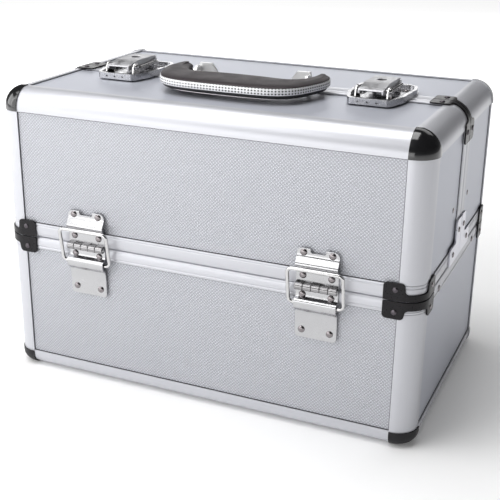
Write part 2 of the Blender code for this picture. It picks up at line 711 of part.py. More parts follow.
# ------------------------------------------------------------------- latches
def latch_body():
    """Chrome base on the front lid: a shaped plate with a raised rim and two
    ears that carry the lever's pin."""
    z0 = H + 0.3
    plan = [(-15.5, -42.4), (15.5, -42.4), (17.8, -40.1), (23.3, -21.5), (24.5, -0.8), (-24.5, -0.8), (-23.3, -21.5), (-17.8, -40.1)]
    sheet = prism(plan, "z", z0, z0 + 1.2)
    inner = [(-14.4, -39.6), (14.4, -39.6), (15.6, -38.4), (20.6, -21.2), (21.7, 5), (-21.7, 5), (-20.6, -21.2), (-15.6, -38.4)]
    rim = cut(prism(plan, "z", z0 + 0.6, z0 + 5.0), prism(inner, "z", z0, z0 + 8))
    ear = prism([(-35.0, z0 + 0.6), (-24.0, z0 + 0.6), (-26.0, 261.0)] + arc(-30.0, 259.7, 3.2, 20, 160, 4) + [(-34.0, 261.0)],
                "x", 12.1, 13.6)
    body = union(sheet, rim, copy(ear), mirror(ear, "x"))
    ear.free()
    pin = cylinder("x", LEVER_PIVOT, 1.2, -14.4, 14.4, 8)
    return union(body, pin)


def latch_lever():
    """Lever that spans the seam: a cover plate that slopes down in front, on a
    wider hook plate with its nose at the tail."""
    side = [(-37.6, 258.4), (-36.9, 257.6), (-33.0, 257.2), (-4.0, 257.4), (-2.6, 253.6), (2.0, 253.4), (10.9, 262.2),
            (11.2, 262.9), (9.5, 263.4), (0.0, 263.6), (-22.0, 263.6), (-36.8, 261.3), (-37.7, 260.8)]
    lev = prism(side, "x", -10.2, 10.2)
    hook = prism([(-26.0, 255.0), (-3.3, 255.0), (-2.7, 253.8), (1.8, 253.6), (6.0, 257.8), (6.0, 259.2), (-24.0, 259.2)], "x", -11.6, 11.6)
    arm = prism([(-22.4, 257.4), (9.5, 257.4), (10.5, 258.4), (9.5, 259.8), (-22.4, 259.8)], "x", 11.0, 13.9)
    lev = union(lev, hook, copy(arm), mirror(arm, "x"))
    arm.free()
    # hollow under the cover, open at the front
    lev = cut(lev, prism([(-40.0, 250.0), (-40.0, 259.6), (-37.6, 259.9), (-22.5, 262.2), (-14.5, 262.2), (-14.5, 250.0)],
                         "x", -8.6, 8.6))
    lev = cut(lev, cylinder("x", LEVER_PIVOT, 1.5, -20, 20, 8))
    lev = cut(lev, cylinder("z", (0.0, LOCK_Y), 3.9, 250.0, 270.0, 12))
    return lev


def latch_lock():
    """Key cylinder, a little below the cover's face."""
    c = cylinder("z", (0.0, LOCK_Y), 3.4, 258.0, 263.0, 12, 0.4)
    return cut(c, box(-0.6, 0.6, LOCK_Y - 2.4, LOCK_Y + 2.4, 261.0, 266.0))


def latch_strike():
    """Catch on the rear lid, with a sloped front the hook drops over."""
    z0 = H + 0.3
    plan = [(-24.5, 0.8), (24.5, 0.8), (26.0, 8.0), (22.8, 23.0), (17.0, 28.0), (-17.0, 28.0), (-22.8, 23.0), (-26.0, 8.0)]
    sheet = prism(plan, "z", z0, z0 + 1.2)
    wedge = prism([(2.9, z0 + 0.6), (7.0, 255.2), (10.0, 255.2), (12.0, z0 + 0.6)], "x", -11.0, 11.0)
    rim_o = [(-21.7, 1.4), (-24.1, 1.4), (-25.4, 8.2), (-22.2, 22.6), (-16.7, 27.3), (16.7, 27.3), (22.2, 22.6), (25.4, 8.2),
             (24.1, 1.4), (21.7, 1.4), (22.8, 8.2), (20.0, 21.4), (15.9, 24.8), (-15.9, 24.8), (-20.0, 21.4), (-22.8, 8.2)]
    rim = prism(rim_o, "z", z0 + 0.6, z0 + 4.8)
    return union(sheet, wedge, rim)


# -------------------------------------------------------------------- handle
def handle_outline():
    """Plan of the padded grip, lying forward on the front lid: right half."""
    right = [(0, -74.5), (20, -74.2), (32, -73.4), (42, -71.6), (50, -68.2), (56.5, -63.2), (61.5, -56.4), (65.5, -47.0),
             (69.0, -36.5), (71.8, -27.0), (72.3, -20.0), (70.6, -12.5), (68.0, -6.0), (65.5, -2.9), (62.0, -1.8), (57.0, -3.0),
             (54.5, -8.0), (52.5, -20.0), (47.5, -27.0), (38.0, -31.0), (20.0, -29.0), (0, -28.0)]
    left = [(-x, y) for x, y in right[1:-1]][::-1]
    return right + left


def inset_outline(pts, d):
    """Closed outline moved inwards by d (the outline runs clockwise or not)."""
    area = sum(a[0] * b[1] - b[0] * a[1] for a, b in zip(pts, pts[1:] + pts[:1]))
    s = 1 if area > 0 else -1
    out = []
    n = len(pts)
    for i in range(n):
        p0, p, p1 = Vector(pts[i - 1]), Vector(pts[i]), Vector(pts[(i + 1) % n])
        a, b = (p - p0).normalized(), (p1 - p).normalized()
        na, nb = Vector((-a.y, a.x)) * s, Vector((-b.y, b.x)) * s
        m = (na + nb).normalized()
        out.append(tuple(p + m * d / max(0.6, m.dot(na))))
    return out


def handle_grip():
    """Padded grip with the woven band sewn round its outer edge."""
    pts = handle_outline()
    upper = prism(inset_outline(pts, 1.2), "z", 258.0, 262.0)
    crown = prism(inset_outline(pts, 4.0), "z", 261.0, 264.0)
    lower = prism(inset_outline(pts, 1.7), "z", 252.3, 258.6)
    right = pts[:14]
    line = [(-x, y) for x, y in right[1:]][::-1] + right
    ri = inset_outline(pts, 3.0)[:14]
    iline = [(-x, y) for x, y in ri[1:]][::-1] + ri
    band = prism(line + iline[::-1], "z", 256.2, 261.6)
    g = union(union(upper, crown), lower, band)
    # the ends turn about the pivot clear of the lid
    py, pz = HANDLE_PIVOT
    round_off = arc(py, pz, 6.2, 0, -90, 3) + [(py, pz - 20), (py + 20, pz - 20), (py + 20, pz + 20), (py + 6.2, pz + 20)]
    g = cut(g, prism(round_off, "x", -90, 90))
    for s in (-1, 1):
        lo, hi = sorted((s * 50.0, s * 63.0))
        g = cut(g, cylinder("x", HANDLE_PIVOT, 2.4, lo, hi, 8))
    return g


def handle_mount():
    """Right-hand mount on the front lid: foot, upright ear and pivot pin."""
    z0 = H + 0.3
    foot = prism([(33.0, -23.5), (47.0, -23.5), (49.5, -20.0), (51.2, -2.2), (31.0, -2.2)], "z", z0, z0 + 1.4)
    ear = prism([(-20.5, z0 + 0.6), (-2.4, z0 + 0.6), (-2.4, 256.8)] + arc(-9.0, 257.0, 5.6, 10, 150, 5), "x", 49.0, 51.2)
    upright = prism([(31.5, z0 + 0.6), (51.2, z0 + 0.6), (51.2, 260.0), (50.2, 263.6), (39.0, 263.6), (34.0, 257.0)], "y", -5.0, -2.4)
    pin = cylinder("x", HANDLE_PIVOT, 1.8, 50.0, 62.0, 8)
    return union(union(foot, ear), upright, pin)


# ================================================================ build it all
CORNERS = (("front_left", "", ""), ("front_right", "x", ""), ("rear_left", "", "y"), ("rear_right", "x", "y"))


def turned(bm, axes):
    """A copy mirrored across each of the named axes."""
    out = bm.copy()
    for a in axes:
        nxt = mirror(out, a)
        out.free()
        out = nxt
    return out


node("base_carcass", base_carcass(), "base", DOTTED)
node("base_lower_frame", base_lower_frame(), "base", EXTRUSION, 25)
node("base_rim", base_rim(), "base", EXTRUSION, 25)
cap = base_cap()
bracket = riveted_upright_bracket(False)
for name, ax, ay in CORNERS:
    node(f"base_{name}_cap", turned(cap, ax + ay), "base", CAP_MATT, 40)
    node(f"base_{name}_bracket", turned(bracket, ax + ay), "base", BLACK_STEEL)
leaf = moved(hinge_leaf(BASE_LEAF, False), x=-HINGE_X)
for name, ax, ay in CORNERS:
    node(f"base_{name}_hinge_leaf", turned(leaf, ax + ay), "base", CHROME)

lid_carc, lid_frame, lid_mouth = lid_carcass(), lid_edge_frame(), lid_mouth_frame()
lid_corner = lid_cap()
side_bracket, over_bracket = riveted_upright_bracket(True), riveted_top_bracket()
lid_leaf = moved(hinge_leaf(LID_LEAF, True), x=-HINGE_X)
ring = moved(hinge_ring(), x=-HINGE_X)
arm = mirror(tray_arm(), "x")
upper_tray, lower_tray = trays()
for side, ay in (("front", ""), ("rear", "y")):
    body = side + "_lid"
    node(f"{side}_lid_carcass", turned(lid_carc, ay), body, DOTTED)
    node(f"{side}_lid_edge_frame", turned(lid_frame, ay), body, EXTRUSION, 25)
    node(f"{side}_lid_mouth_frame", turned(lid_mouth, ay), body, EXTRUSION, 25)
    for hand, ax in (("left", ""), ("right", "x")):
        node(f"{side}_lid_{hand}_cap", turned(lid_corner, ax + ay), body, CAP_GLOSS, 40)
        node(f"{side}_lid_{hand}_bracket", turned(side_bracket, ax + ay), body, BLACK_STEEL)
        node(f"{side}_lid_{hand}_top_bracket", turned(over_bracket, ax + ay), body, BLACK_STEEL)
        node(f"{side}_lid_{hand}_hinge_leaf", turned(lid_leaf, ax + ay), body, CHROME)
        node(f"{side}_{hand}_hinge_ring", turned(ring, ax + ay), side + "_rings", CHROME)
        node(f"{side}_{hand}_tray_arm", turned(arm, ax + ay), side + "_arms", BLACK_STEEL)
    node(f"{side}_upper_tray", turned(upper_tray, ay), side + "_upper_tray", TRAY)
    node(f"{side}_lower_tray", turned(lower_tray, ay), side + "_lower_tray", TRAY)

for hand, s in (("left", -1), ("right", 1)):
    node(f"{hand}_latch_body", moved(latch_body(), x=s * LATCH_X), "front_lid", CHROME)
    node(f"{hand}_latch_strike", moved(latch_strike(), x=s * LATCH_X), "rear_lid", CHROME)
    node(f"{hand}_latch_lever", moved(latch_lever(), x=s * LATCH_X), f"{hand}_latch", CHROME)
    node(f"{hand}_latch_lock", moved(latch_lock(), x=s * LATCH_X), f"{hand}_lock", CHROME)

mount = handle_mount()
node("right_handle_mount", turned(mount, ""), "front_lid", CHROME)
node("left_handle_mount", turned(mount, "x"), "front_lid", CHROME)
node("handle_grip", handle_grip(), "handle", LEATHER)

for me in list(bpy.data.meshes):
    if me.users == 0:
        bpy.data.meshes.remove(me)
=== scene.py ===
"""Looks for the makeup train case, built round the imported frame."""

import math

import bmesh
import bpy
from mathutils import Matrix, Vector


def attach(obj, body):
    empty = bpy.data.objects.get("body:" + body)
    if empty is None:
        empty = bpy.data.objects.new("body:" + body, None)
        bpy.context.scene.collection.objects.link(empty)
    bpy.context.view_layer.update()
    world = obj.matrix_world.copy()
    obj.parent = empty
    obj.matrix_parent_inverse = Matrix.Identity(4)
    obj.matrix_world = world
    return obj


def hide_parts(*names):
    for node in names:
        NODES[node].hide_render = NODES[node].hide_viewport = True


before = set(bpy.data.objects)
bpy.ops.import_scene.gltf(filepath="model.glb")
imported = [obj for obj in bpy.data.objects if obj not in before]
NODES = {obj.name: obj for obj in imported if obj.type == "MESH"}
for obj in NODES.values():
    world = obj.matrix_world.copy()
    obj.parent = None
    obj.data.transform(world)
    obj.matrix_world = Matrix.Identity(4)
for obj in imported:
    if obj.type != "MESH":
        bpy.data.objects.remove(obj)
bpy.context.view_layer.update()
MM = 0.001

# ------------------------------------------------------------------ case sizes
W, D, H = 365.0, 226.0, 250.0
HW, HD = W / 2, D / 2
SEAM, GAP = 124.0, 0.15
LEG, R_EDGE = 18.5, 17.0
REC, WALL, LIP = 1.2, 6.0, 0.9
LID_Z0 = SEAM + GAP
LID_Z1 = LID_Z0 + 12.3
BAND0 = SEAM - GAP - 10.3
SEAM_Y = -GAP
SEAM_BAND = 12.0
Z0, BOT_LEG, R_BOT = 1.2, 13.0, 9.0
HINGE_X, LEAF_W = 101.5, 34.0
PIN_U, PIN_R = 4.0, 1.5
RING_Q, RING_L, RING_TILT = (3.4, 110.0), 29.5, 8.97
RING_W, RING_R = 44.5, 1.5
LATCH_X = 112.0
LEVER_PIVOT = (-30.0, 259.5)
LOCK_Y = -6.5
HANDLE_PIVOT = (-9.0, 257.0)
CORNERS = (("front_left", "", ""), ("front_right", "x", ""), ("rear_left", "", "y"), ("rear_right", "x", "y"))


# --------------------------------------------------------------- mesh helpers
def prism(poly, axis, lo, hi):
    bm = bmesh.new()
    i = "xyz".index(axis)
    rows = []
    for t in (lo, hi):
        row = []
        for a, b in poly:
            c = [a, b]
            c.insert(i, t)
            row.append(bm.verts.new(c))
        rows.append(row)
    bm.faces.new(rows[0])
    bm.faces.new(rows[1][::-1])
    n = len(poly)
    for k in range(n):
        bm.faces.new((rows[0][k], rows[1][k], rows[1][(k + 1) % n], rows[0][(k + 1) % n]))
    bmesh.ops.recalc_face_normals(bm, faces=bm.faces)
    return bm


def box(x0, x1, y0, y1, z0, z1):
    return prism([(x0, y0), (x1, y0), (x1, y1), (x0, y1)], "z", z0, z1)


def arc(cx, cy, r, a0, a1, n):
    return [(cx + r * math.cos(math.radians(a0 + (a1 - a0) * k / n)),
             cy + r * math.sin(math.radians(a0 + (a1 - a0) * k / n))) for k in range(n + 1)]


def lathe(profile, c, n, seg=24):
    """A turned piece: profile of (radius, height) from the axis at the foot to
    the axis at the top; c is the foot, n the axis."""
    c, n = Vector(c), Vector(n).normalized()
    t = Vector((0, 0, 1)) if abs(n.z) < 0.5 else Vector((1, 0, 0))
    a = n.cross(t).normalized()
    b = n.cross(a)
    bm = bmesh.new()
    rows = []
    for r, h in profile:
        if r < 1e-6:
            rows.append([bm.verts.new(c + n * h)])
        else:
            rows.append([bm.verts.new(c + n * h + (a * math.cos(2 * math.pi * k / seg) + b * math.sin(2 * math.pi * k / seg)) * r)
                         for k in range(seg)])
    for r0, r1 in zip(rows, rows[1:]):
        for k in range(seg):
            if len(r0) == 1 and len(r1) == 1:
                continue
            if len(r0) == 1:
                bm.faces.new((r0[0], r1[k], r1[(k + 1) % seg]))
            elif len(r1) == 1:
                bm.faces.new((r0[k], r1[0], r0[(k + 1) % seg]))
            else:
                bm.faces.new((r0[k], r1[k], r1[(k + 1) % seg], r0[(k + 1) % seg]))
    bmesh.ops.recalc_face_normals(bm, faces=bm.faces)
    return bm


def cylinder(axis, c, r, lo, hi, n=24, ch=0.0):
    i = "xyz".index(axis)
    foot = [c[0], c[1]]
    foot.insert(i, lo)
    nrm = [0, 0, 0]
    nrm[i] = 1
    h = hi - lo
    prof = [(0, 0), (r, 0), (r, h), (0, h)] if ch <= 0 else [(0, 0), (r - ch, 0), (r, ch), (r, h - ch), (r - ch, h), (0, h)]
    return lathe(prof, foot, nrm, n)


def rivet(c, n, r=2.2, h=1.1, seg=20, sink=0.3):
    c = Vector(c) - Vector(n).normalized() * sink
    h += sink
    prof = [(0, 0), (r, 0), (r, sink + 0.15)]
    for k in range(1, 7):
        a = math.radians(90 * k / 6)
        prof.append((r * math.cos(a) if k < 6 else 0.0, sink + 0.15 + (h - sink - 0.15) * math.sin(a)))
    return lathe(prof, c, n, seg)


def sweep(path, section, closed):
    bm = bmesh.new()
    rows = []
    for p, n, u in path:
        p, n, u = Vector(p), Vector(n), Vector(u)
        rows.append([bm.verts.new(p + n * a + u * b) for a, b in section])
    m = len(section)
    last = len(rows) if closed else len(rows) - 1
    for k in range(last):
        r0, r1 = rows[k], rows[(k + 1) % len(rows)]
        for j in range(m):
            bm.faces.new((r0[j], r1[j], r1[(j + 1) % m], r0[(j + 1) % m]))
    if not closed:
        bm.faces.new(rows[0])
        bm.faces.new(rows[-1][::-1])
    bmesh.ops.recalc_face_normals(bm, faces=bm.faces)
    return bm


def join(*parts):
    out = bmesh.new()
    for p in parts:
        me = bpy.data.meshes.new("tmp")
        p.to_mesh(me)
        p.free()
        out.from_mesh(me)
        bpy.data.meshes.remove(me)
    return out


def mirror(bm, axis):
    c = bm.copy()
    s = [1, 1, 1]
    s["xyz".index(axis)] = -1
    bmesh.ops.transform(c, matrix=Matrix.Diagonal((*s, 1)), verts=c.verts)
    bmesh.ops.reverse_faces(c, faces=c.faces)
    return c


def turned(bm, axes):
    out = bm.copy()
    for a in axes:
        nxt = mirror(out, a)
        out.free()
        out = nxt
    return out


def moved(bm, x=0, y=0, z=0):
    c = bm.copy()
    bmesh.ops.translate(c, vec=(x, y, z), verts=c.verts)
    return c


def tmp_object(bm):
    me = bpy.data.meshes.new("tmp")
    bm.to_mesh(me)
    bm.free()
    ob = bpy.data.objects.new("tmp", me)
    bpy.context.scene.collection.objects.link(ob)
    return ob


def boolean(a, b, op):
    oa, ob = tmp_object(a), tmp_object(b)
    mod = oa.modifiers.new("cut", "BOOLEAN")
    mod.operation, mod.solver, mod.object = op, "EXACT", ob
    dg = bpy.context.evaluated_depsgraph_get()
    dg.update()
    me = bpy.data.meshes.new_from_object(oa.evaluated_get(dg))
    out = bmesh.new()
    out.from_mesh(me)
    for o in (oa, ob):
        m = o.data
        bpy.data.objects.remove(o, do_unlink=True)
        bpy.data.meshes.remove(m)
    bpy.data.meshes.remove(me)
    bmesh.ops.dissolve_degenerate(out, edges=out.edges, dist=1e-4)
    bmesh.ops.remove_doubles(out, verts=out.verts, dist=1e-4)
    return out


def cut(a, *tools):
    for t in tools:
        a = boolean(a, t, "DIFFERENCE")
    return a


def union(*parts):
    out = parts[0]
    for p in parts[1:]:
        out = boolean(out, p, "UNION")
    return out


def fillet(pts, r, n=4):
    """Round the inner points of an open line."""
    out = [pts[0]]
    for a, b, c in zip(pts, pts[1:], pts[2:]):
        a, b, c = Vector(a), Vector(b), Vector(c)
        u, v = (a - b), (c - b)
        d = min(r, u.length * 0.48, v.length * 0.48)
        p0, p2 = b + u.normalized() * d, b + v.normalized() * d
        for k in range(n + 1):
            t = k / n
            out.append(tuple(p0 * (1 - t) ** 2 + b * 2 * t * (1 - t) + p2 * t ** 2))
    out.append(pts[-1])
    return out


def inset_outline(pts, d):
    area = sum(a[0] * b[1] - b[0] * a[1] for a, b in zip(pts, pts[1:] + pts[:1]))
    s = 1 if area > 0 else -1
    out = []
    n = len(pts)
    for i in range(n):
        p0, p, p1 = Vector(pts[i - 1]), Vector(pts[i]), Vector(pts[(i + 1) % n])
        a, b = (p - p0).normalized(), (p1 - p).normalized()
        na, nb = Vector((-a.y, a.x)) * s, Vector((-b.y, b.x)) * s
        m = (na + nb).normalized()
        out.append(tuple(p + m * d / max(0.6, m.dot(na))))
    return out


def piece(name, bm, body, mat, replaces=(), slot=None, angle=32.0, bevel=0.0, seg=2):
    for v in bm.verts:
        v.co = v.co * MM
    me = bpy.data.meshes.new(name)
    bm.to_mesh(me)
    bm.free()
    for m in (mat if isinstance(mat, (list, tuple)) else [mat]):
        me.materials.append(m)
    me.shade_smooth()
    me.set_sharp_from_angle(angle=math.radians(angle))
    ob = bpy.data.objects.new(name, me)
    bpy.context.scene.collection.objects.link(ob)
    if bevel:
        mod = ob.modifiers.new("edge", "BEVEL")
        mod.width = bevel * MM
        mod.segments = seg
        mod.limit_method = "ANGLE"
        mod.angle_limit = math.radians(35)
        mod.harden_normals = True
    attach(ob, body)
    if replaces:
        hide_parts(*replaces)
    return ob


# ------------------------------------------------------------------ materials
def new_mat(name, rgb, rough, metal):
    m = bpy.data.materials.new(name)
    m.use_nodes = True
    nt = m.node_tree
    b = nt.nodes["Principled BSDF"]
    b.inputs["Base Color"].default_value = (*rgb, 1.0)
    b.inputs["Roughness"].default_value = rough
    b.inputs["Metallic"].default_value = metal
    m.diffuse_color = (*rgb, 1.0)
    tc = nt.nodes.new("ShaderNodeTexCoord")
    return m, nt, b, tc


def math_node(nt, op, a, b=None, c=None):
    n = nt.nodes.new("ShaderNodeMath")
    n.operation = op
    for i, v in enumerate((a, b, c)):
        if v is None:
            continue
        if isinstance(v, (int, float)):
            n.inputs[i].default_value = v
        else:
            nt.links.new(v, n.inputs[i])
    return n.outputs[0]


def noise(nt, vec, scale, detail=3.0, rough=0.55, stretch=(1, 1, 1)):
    mp = nt.nodes.new("ShaderNodeMapping")
    mp.inputs["Scale"].default_value = stretch
    nt.links.new(vec, mp.inputs["Vector"])
    n = nt.nodes.new("ShaderNodeTexNoise")
    n.inputs["Scale"].default_value = scale
    n.inputs["Detail"].default_value = detail
    n.inputs["Roughness"].default_value = rough
    nt.links.new(mp.outputs[0], n.inputs["Vector"])
    return n.outputs["Fac"]


def mix_rgb(nt, fac, c0, c1):
    n = nt.nodes.new("ShaderNodeMix")
    n.data_type = "RGBA"
    nt.links.new(fac, n.inputs[0])
    n.inputs[6].default_value = (*c0, 1)
    n.inputs[7].default_value = (*c1, 1)
    return n.outputs[2]


def map_range(nt, v, a, b, c, d, smooth=False):
    n = nt.nodes.new("ShaderNodeMapRange")
    if smooth:
        n.interpolation_type = "SMOOTHSTEP"
    nt.links.new(v, n.inputs[0])
    for i, x in enumerate((a, b, c, d)):
        n.inputs[i + 1].default_value = x
    return n.outputs[0]


def bump(nt, b, height, strength, dist):
    n = nt.nodes.new("ShaderNodeBump")
    n.inputs["Strength"].default_value = strength
    n.inputs["Distance"].default_value = dist
    nt.links.new(height, n.inputs["Height"])
    nt.links.new(n.outputs[0], b.inputs["Normal"])
    return n


def scaled(rgb, k):
    return tuple(min(1.0, c * k) for c in rgb)


def dotted_sheet(name, rgb, metal, rough):
    """Sheet embossed with a staggered field of small dots, 2.8 mm apart."""
    m, nt, b, tc = new_mat(name, rgb, rough, metal)
    sep = nt.nodes.new("ShaderNodeSeparateXYZ")
    nt.links.new(tc.outputs["Object"], sep.inputs[0])
    k = 2 * math.pi * 0.357 * 1000
    cx = math_node(nt, "COSINE", math_node(nt, "MULTIPLY", sep.outputs[0], k))
    cz = math_node(nt, "COSINE", math_node(nt, "MULTIPLY", sep.outputs[2], k))
    p = math_node(nt, "MULTIPLY", cx, cz)
    h = map_range(nt, p, -0.35, 0.85, 0, 1, True)
    big = noise(nt, tc.outputs["Object"], 9.0, 2.0)
    # painted shade and highlight: colour darker in the hollows between the dots and lighter on the dot tops, following
    # the emboss height
    col = mix_rgb(nt, h, scaled(rgb, 0.78), scaled(rgb, 1.15))
    mx = nt.nodes.new("ShaderNodeMix")
    mx.data_type = "RGBA"
    mx.blend_type = "MULTIPLY"
    mx.inputs[0].default_value = 1.0
    nt.links.new(col, mx.inputs[6])
    nt.links.new(mix_rgb(nt, big, (0.965, 0.968, 0.975), (1, 1, 1)), mx.inputs[7])
    nt.links.new(mx.outputs[2], b.inputs["Base Color"])
    nt.links.new(map_range(nt, h, 0, 1, rough + 0.08, rough - 0.08), b.inputs["Roughness"])
    bump(nt, b, h, 1.0, 0.00026)
    return m


def grain_metal(name, rgb, metal, rough, stretch, depth=0.25, var=0.05, scale=220.0):
    """Rolled or drawn aluminium: fine grain that runs along the piece."""
    m, nt, b, tc = new_mat(name, rgb, rough, metal)
    n = noise(nt, tc.outputs["Object"], scale, 4.0, 0.6, stretch)
    n2 = noise(nt, tc.outputs["Object"], 14.0, 3.0, 0.5)
    f = math_node(nt, "ADD", math_node(nt, "MULTIPLY", n, 0.65), math_node(nt, "MULTIPLY", n2, 0.35))
    nt.links.new(mix_rgb(nt, map_range(nt, f, 0.3, 0.7, 0, 1), scaled(rgb, 1 - var), scaled(rgb, 1 + var)), b.inputs["Base Color"])
    nt.links.new(map_range(nt, f, 0.3, 0.7, rough - 0.04, rough + 0.06), b.inputs["Roughness"])
    bump(nt, b, n, depth, 0.00004)
    return m


def chrome_mat(name, rgb, rough, scratch=0.15):
    """Bright plating with faint handling marks."""
    m, nt, b, tc = new_mat(name, rgb, rough, 1.0)
    n = noise(nt, tc.outputs["Object"], 90.0, 4.0, 0.6)
    n2 = noise(nt, tc.outputs["Object"], 900.0, 3.0, 0.6, (1, 0.12, 1))
    f = math_node(nt, "MULTIPLY", n, n2)
    nt.links.new(map_range(nt, f, 0.1, 0.4, rough * 0.7, rough * 1.8), b.inputs["Roughness"])
    nt.links.new(mix_rgb(nt, n, scaled(rgb, 0.93), scaled(rgb, 1.04)), b.inputs["Base Color"])
    bump(nt, b, n, scratch, 0.00006)
    return m


def plastic_mat(name, rgb, rough, depth, scale, coat=0.0, spec=0.5):
    m, nt, b, tc = new_mat(name, rgb, rough, 0.0)
    b.inputs["Specular IOR Level"].default_value = spec
    n = noise(nt, tc.outputs["Object"], scale, 4.0, 0.6)
    nt.links.new(map_range(nt, n, 0.3, 0.7, rough * 0.8, rough * 1.25), b.inputs["Roughness"])
    nt.links.new(mix_rgb(nt, n, scaled(rgb, 0.8), scaled(rgb, 1.25)), b.inputs["Base Color"])
    bump(nt, b, n, depth, 0.00005)
    if coat:
        b.inputs["Coat Weight"].default_value = coat
        b.inputs["Coat Roughness"].default_value = 0.04
    return m


def leather_mat(name, rgb):
    """Fine pebbled leatherette."""
    m, nt, b, tc = new_mat(name, rgb, 0.5, 0.0)
    v = nt.nodes.new("ShaderNodeTexVoronoi")
    v.feature = "SMOOTH_F1"
    v.inputs["Scale"].default_value = 1100.0
    nt.links.new(tc.outputs["Object"], v.inputs["Vector"])
    n = noise(nt, tc.outputs["Object"], 60.0, 4.0, 0.6)
    f = math_node(nt, "ADD", v.outputs["Distance"], math_node(nt, "MULTIPLY", n, 0.4))
    nt.links.new(mix_rgb(nt, map_range(nt, f, 0.2, 0.9, 0, 1), scaled(rgb, 1.15), scaled(rgb, 0.75)), b.inputs["Base Color"])
    nt.links.new(map_range(nt, n, 0.3, 0.7, 0.44, 0.6), b.inputs["Roughness"])
    bump(nt, b, f, 0.5, 0.00012)
    b.inputs["Sheen Weight"].default_value = 0.03
    b.inputs["Specular IOR Level"].default_value = 0.35
    return m


def woven_mat(name):
    """Silver braid with a dark ground showing between the strands, laid out on
    the band's own map, in millimetres along and up the band."""
    m, nt, b, tc = new_mat(name, (0.75, 0.75, 0.76), 0.42, 0.15)
    sep = nt.nodes.new("ShaderNodeSeparateXYZ")
    nt.links.new(tc.outputs["UV"], sep.inputs[0])
    u, v = sep.outputs[0], sep.outputs[1]
    k = 2 * math.pi / 5.4
    a = math_node(nt, "SINE", math_node(nt, "MULTIPLY", math_node(nt, "ADD", u, math_node(nt, "MULTIPLY", v, 1.25)), k))
    c = math_node(nt, "SINE", math_node(nt, "MULTIPLY", math_node(nt, "SUBTRACT", u, math_node(nt, "MULTIPLY", v, 1.25)), k))
    p = math_node(nt, "MULTIPLY", a, c)
    h = map_range(nt, p, -0.62, -0.22, 0, 1, True)
    th = math_node(nt, "SINE", math_node(nt, "MULTIPLY", math_node(nt, "ADD", u, math_node(nt, "MULTIPLY", v, 2.2)), k * 4.0))
    hh = math_node(nt, "ADD", h, math_node(nt, "MULTIPLY", th, 0.12))
    nt.links.new(mix_rgb(nt, h, (0.012, 0.011, 0.012), (0.88, 0.88, 0.89)), b.inputs["Base Color"])
    nt.links.new(map_range(nt, h, 0, 1, 0.8, 0.4), b.inputs["Roughness"])
    bump(nt, b, hh, 0.6, 0.0003)
    return m


def cloth_mat(name, rgb, scale=900.0):
    """Short-napped lining cloth."""
    m, nt, b, tc = new_mat(name, rgb, 0.95, 0.0)
    n = noise(nt, tc.outputs["Object"], scale, 3.0, 0.7)
    n2 = noise(nt, tc.outputs["Object"], 22.0, 3.0, 0.6)
    f = math_node(nt, "ADD", math_node(nt, "MULTIPLY", n, 0.6), math_node(nt, "MULTIPLY", n2, 0.4))
    nt.links.new(mix_rgb(nt, map_range(nt, f, 0.35, 0.65, 0, 1), scaled(rgb, 0.6), scaled(rgb, 1.6)), b.inputs["Base Color"])
    b.inputs["Sheen Weight"].default_value = 0.4
    b.inputs["Sheen Roughness"].default_value = 0.5
    bump(nt, b, n, 0.6, 0.0003)
    return m


SILVER = (0.52, 0.527, 0.565)
DOTS = dotted_sheet("dotted_sheet", SILVER, 0.35, 0.42)
SHEET = grain_metal("satin_sheet", (0.51, 0.526, 0.585), 0.45, 0.42, (1, 1, 1), 0.2, 0.025, 600.0)
ALU = (0.56, 0.565, 0.60)
ALU_X = grain_metal("extrusion_x", ALU, 0.42, 0.36, (0.03, 1, 1), 0.25, 0.03)
ALU_Y = grain_metal("extrusion_y", ALU, 0.42, 0.36, (1, 0.03, 1), 0.25, 0.03)
ALU_Z = grain_metal("extrusion_z", ALU, 0.42, 0.36, (1, 1, 0.03), 0.25, 0.03)
CAP_GLOSS = plastic_mat("gloss_black", (0.010, 0.010, 0.011), 0.16, 0.05, 120.0, 0.6)
CAP_MATT = plastic_mat("dull_black", (0.017, 0.016, 0.018), 0.42, 0.3, 500.0, 0.0, 0.22)
# painted reflection: the rear caps are the same gloss black parts as the front ones, coloured mid grey to stand in for
# the light they reflect
CAP_PAINTED_REFLECTION = plastic_mat("painted_reflection_grey", (0.50, 0.505, 0.52), 0.38, 0.15, 400.0)
BLACK = plastic_mat("black_paint", (0.009, 0.008, 0.0095), 0.30, 0.25, 700.0, 0.0, 0.22)
BLACK_RIVET = chrome_mat("dark_rivet", (0.10, 0.09, 0.10), 0.28)
CHROME = chrome_mat("bright_chrome", (0.62, 0.615, 0.615), 0.10)
CHROME_SOFT = chrome_mat("satin_chrome", (0.55, 0.55, 0.555), 0.24)
# painted reflection: rivet plating darkened to stand in for the dark reflections in the rivet domes
RIVET = chrome_mat("rivet_painted_dark_reflection", (0.25, 0.23, 0.235), 0.16)
ZINC = grain_metal("zinc_sheet", (0.72, 0.72, 0.78), 0.7, 0.30, (1, 1, 1), 0.2, 0.04, 500.0)
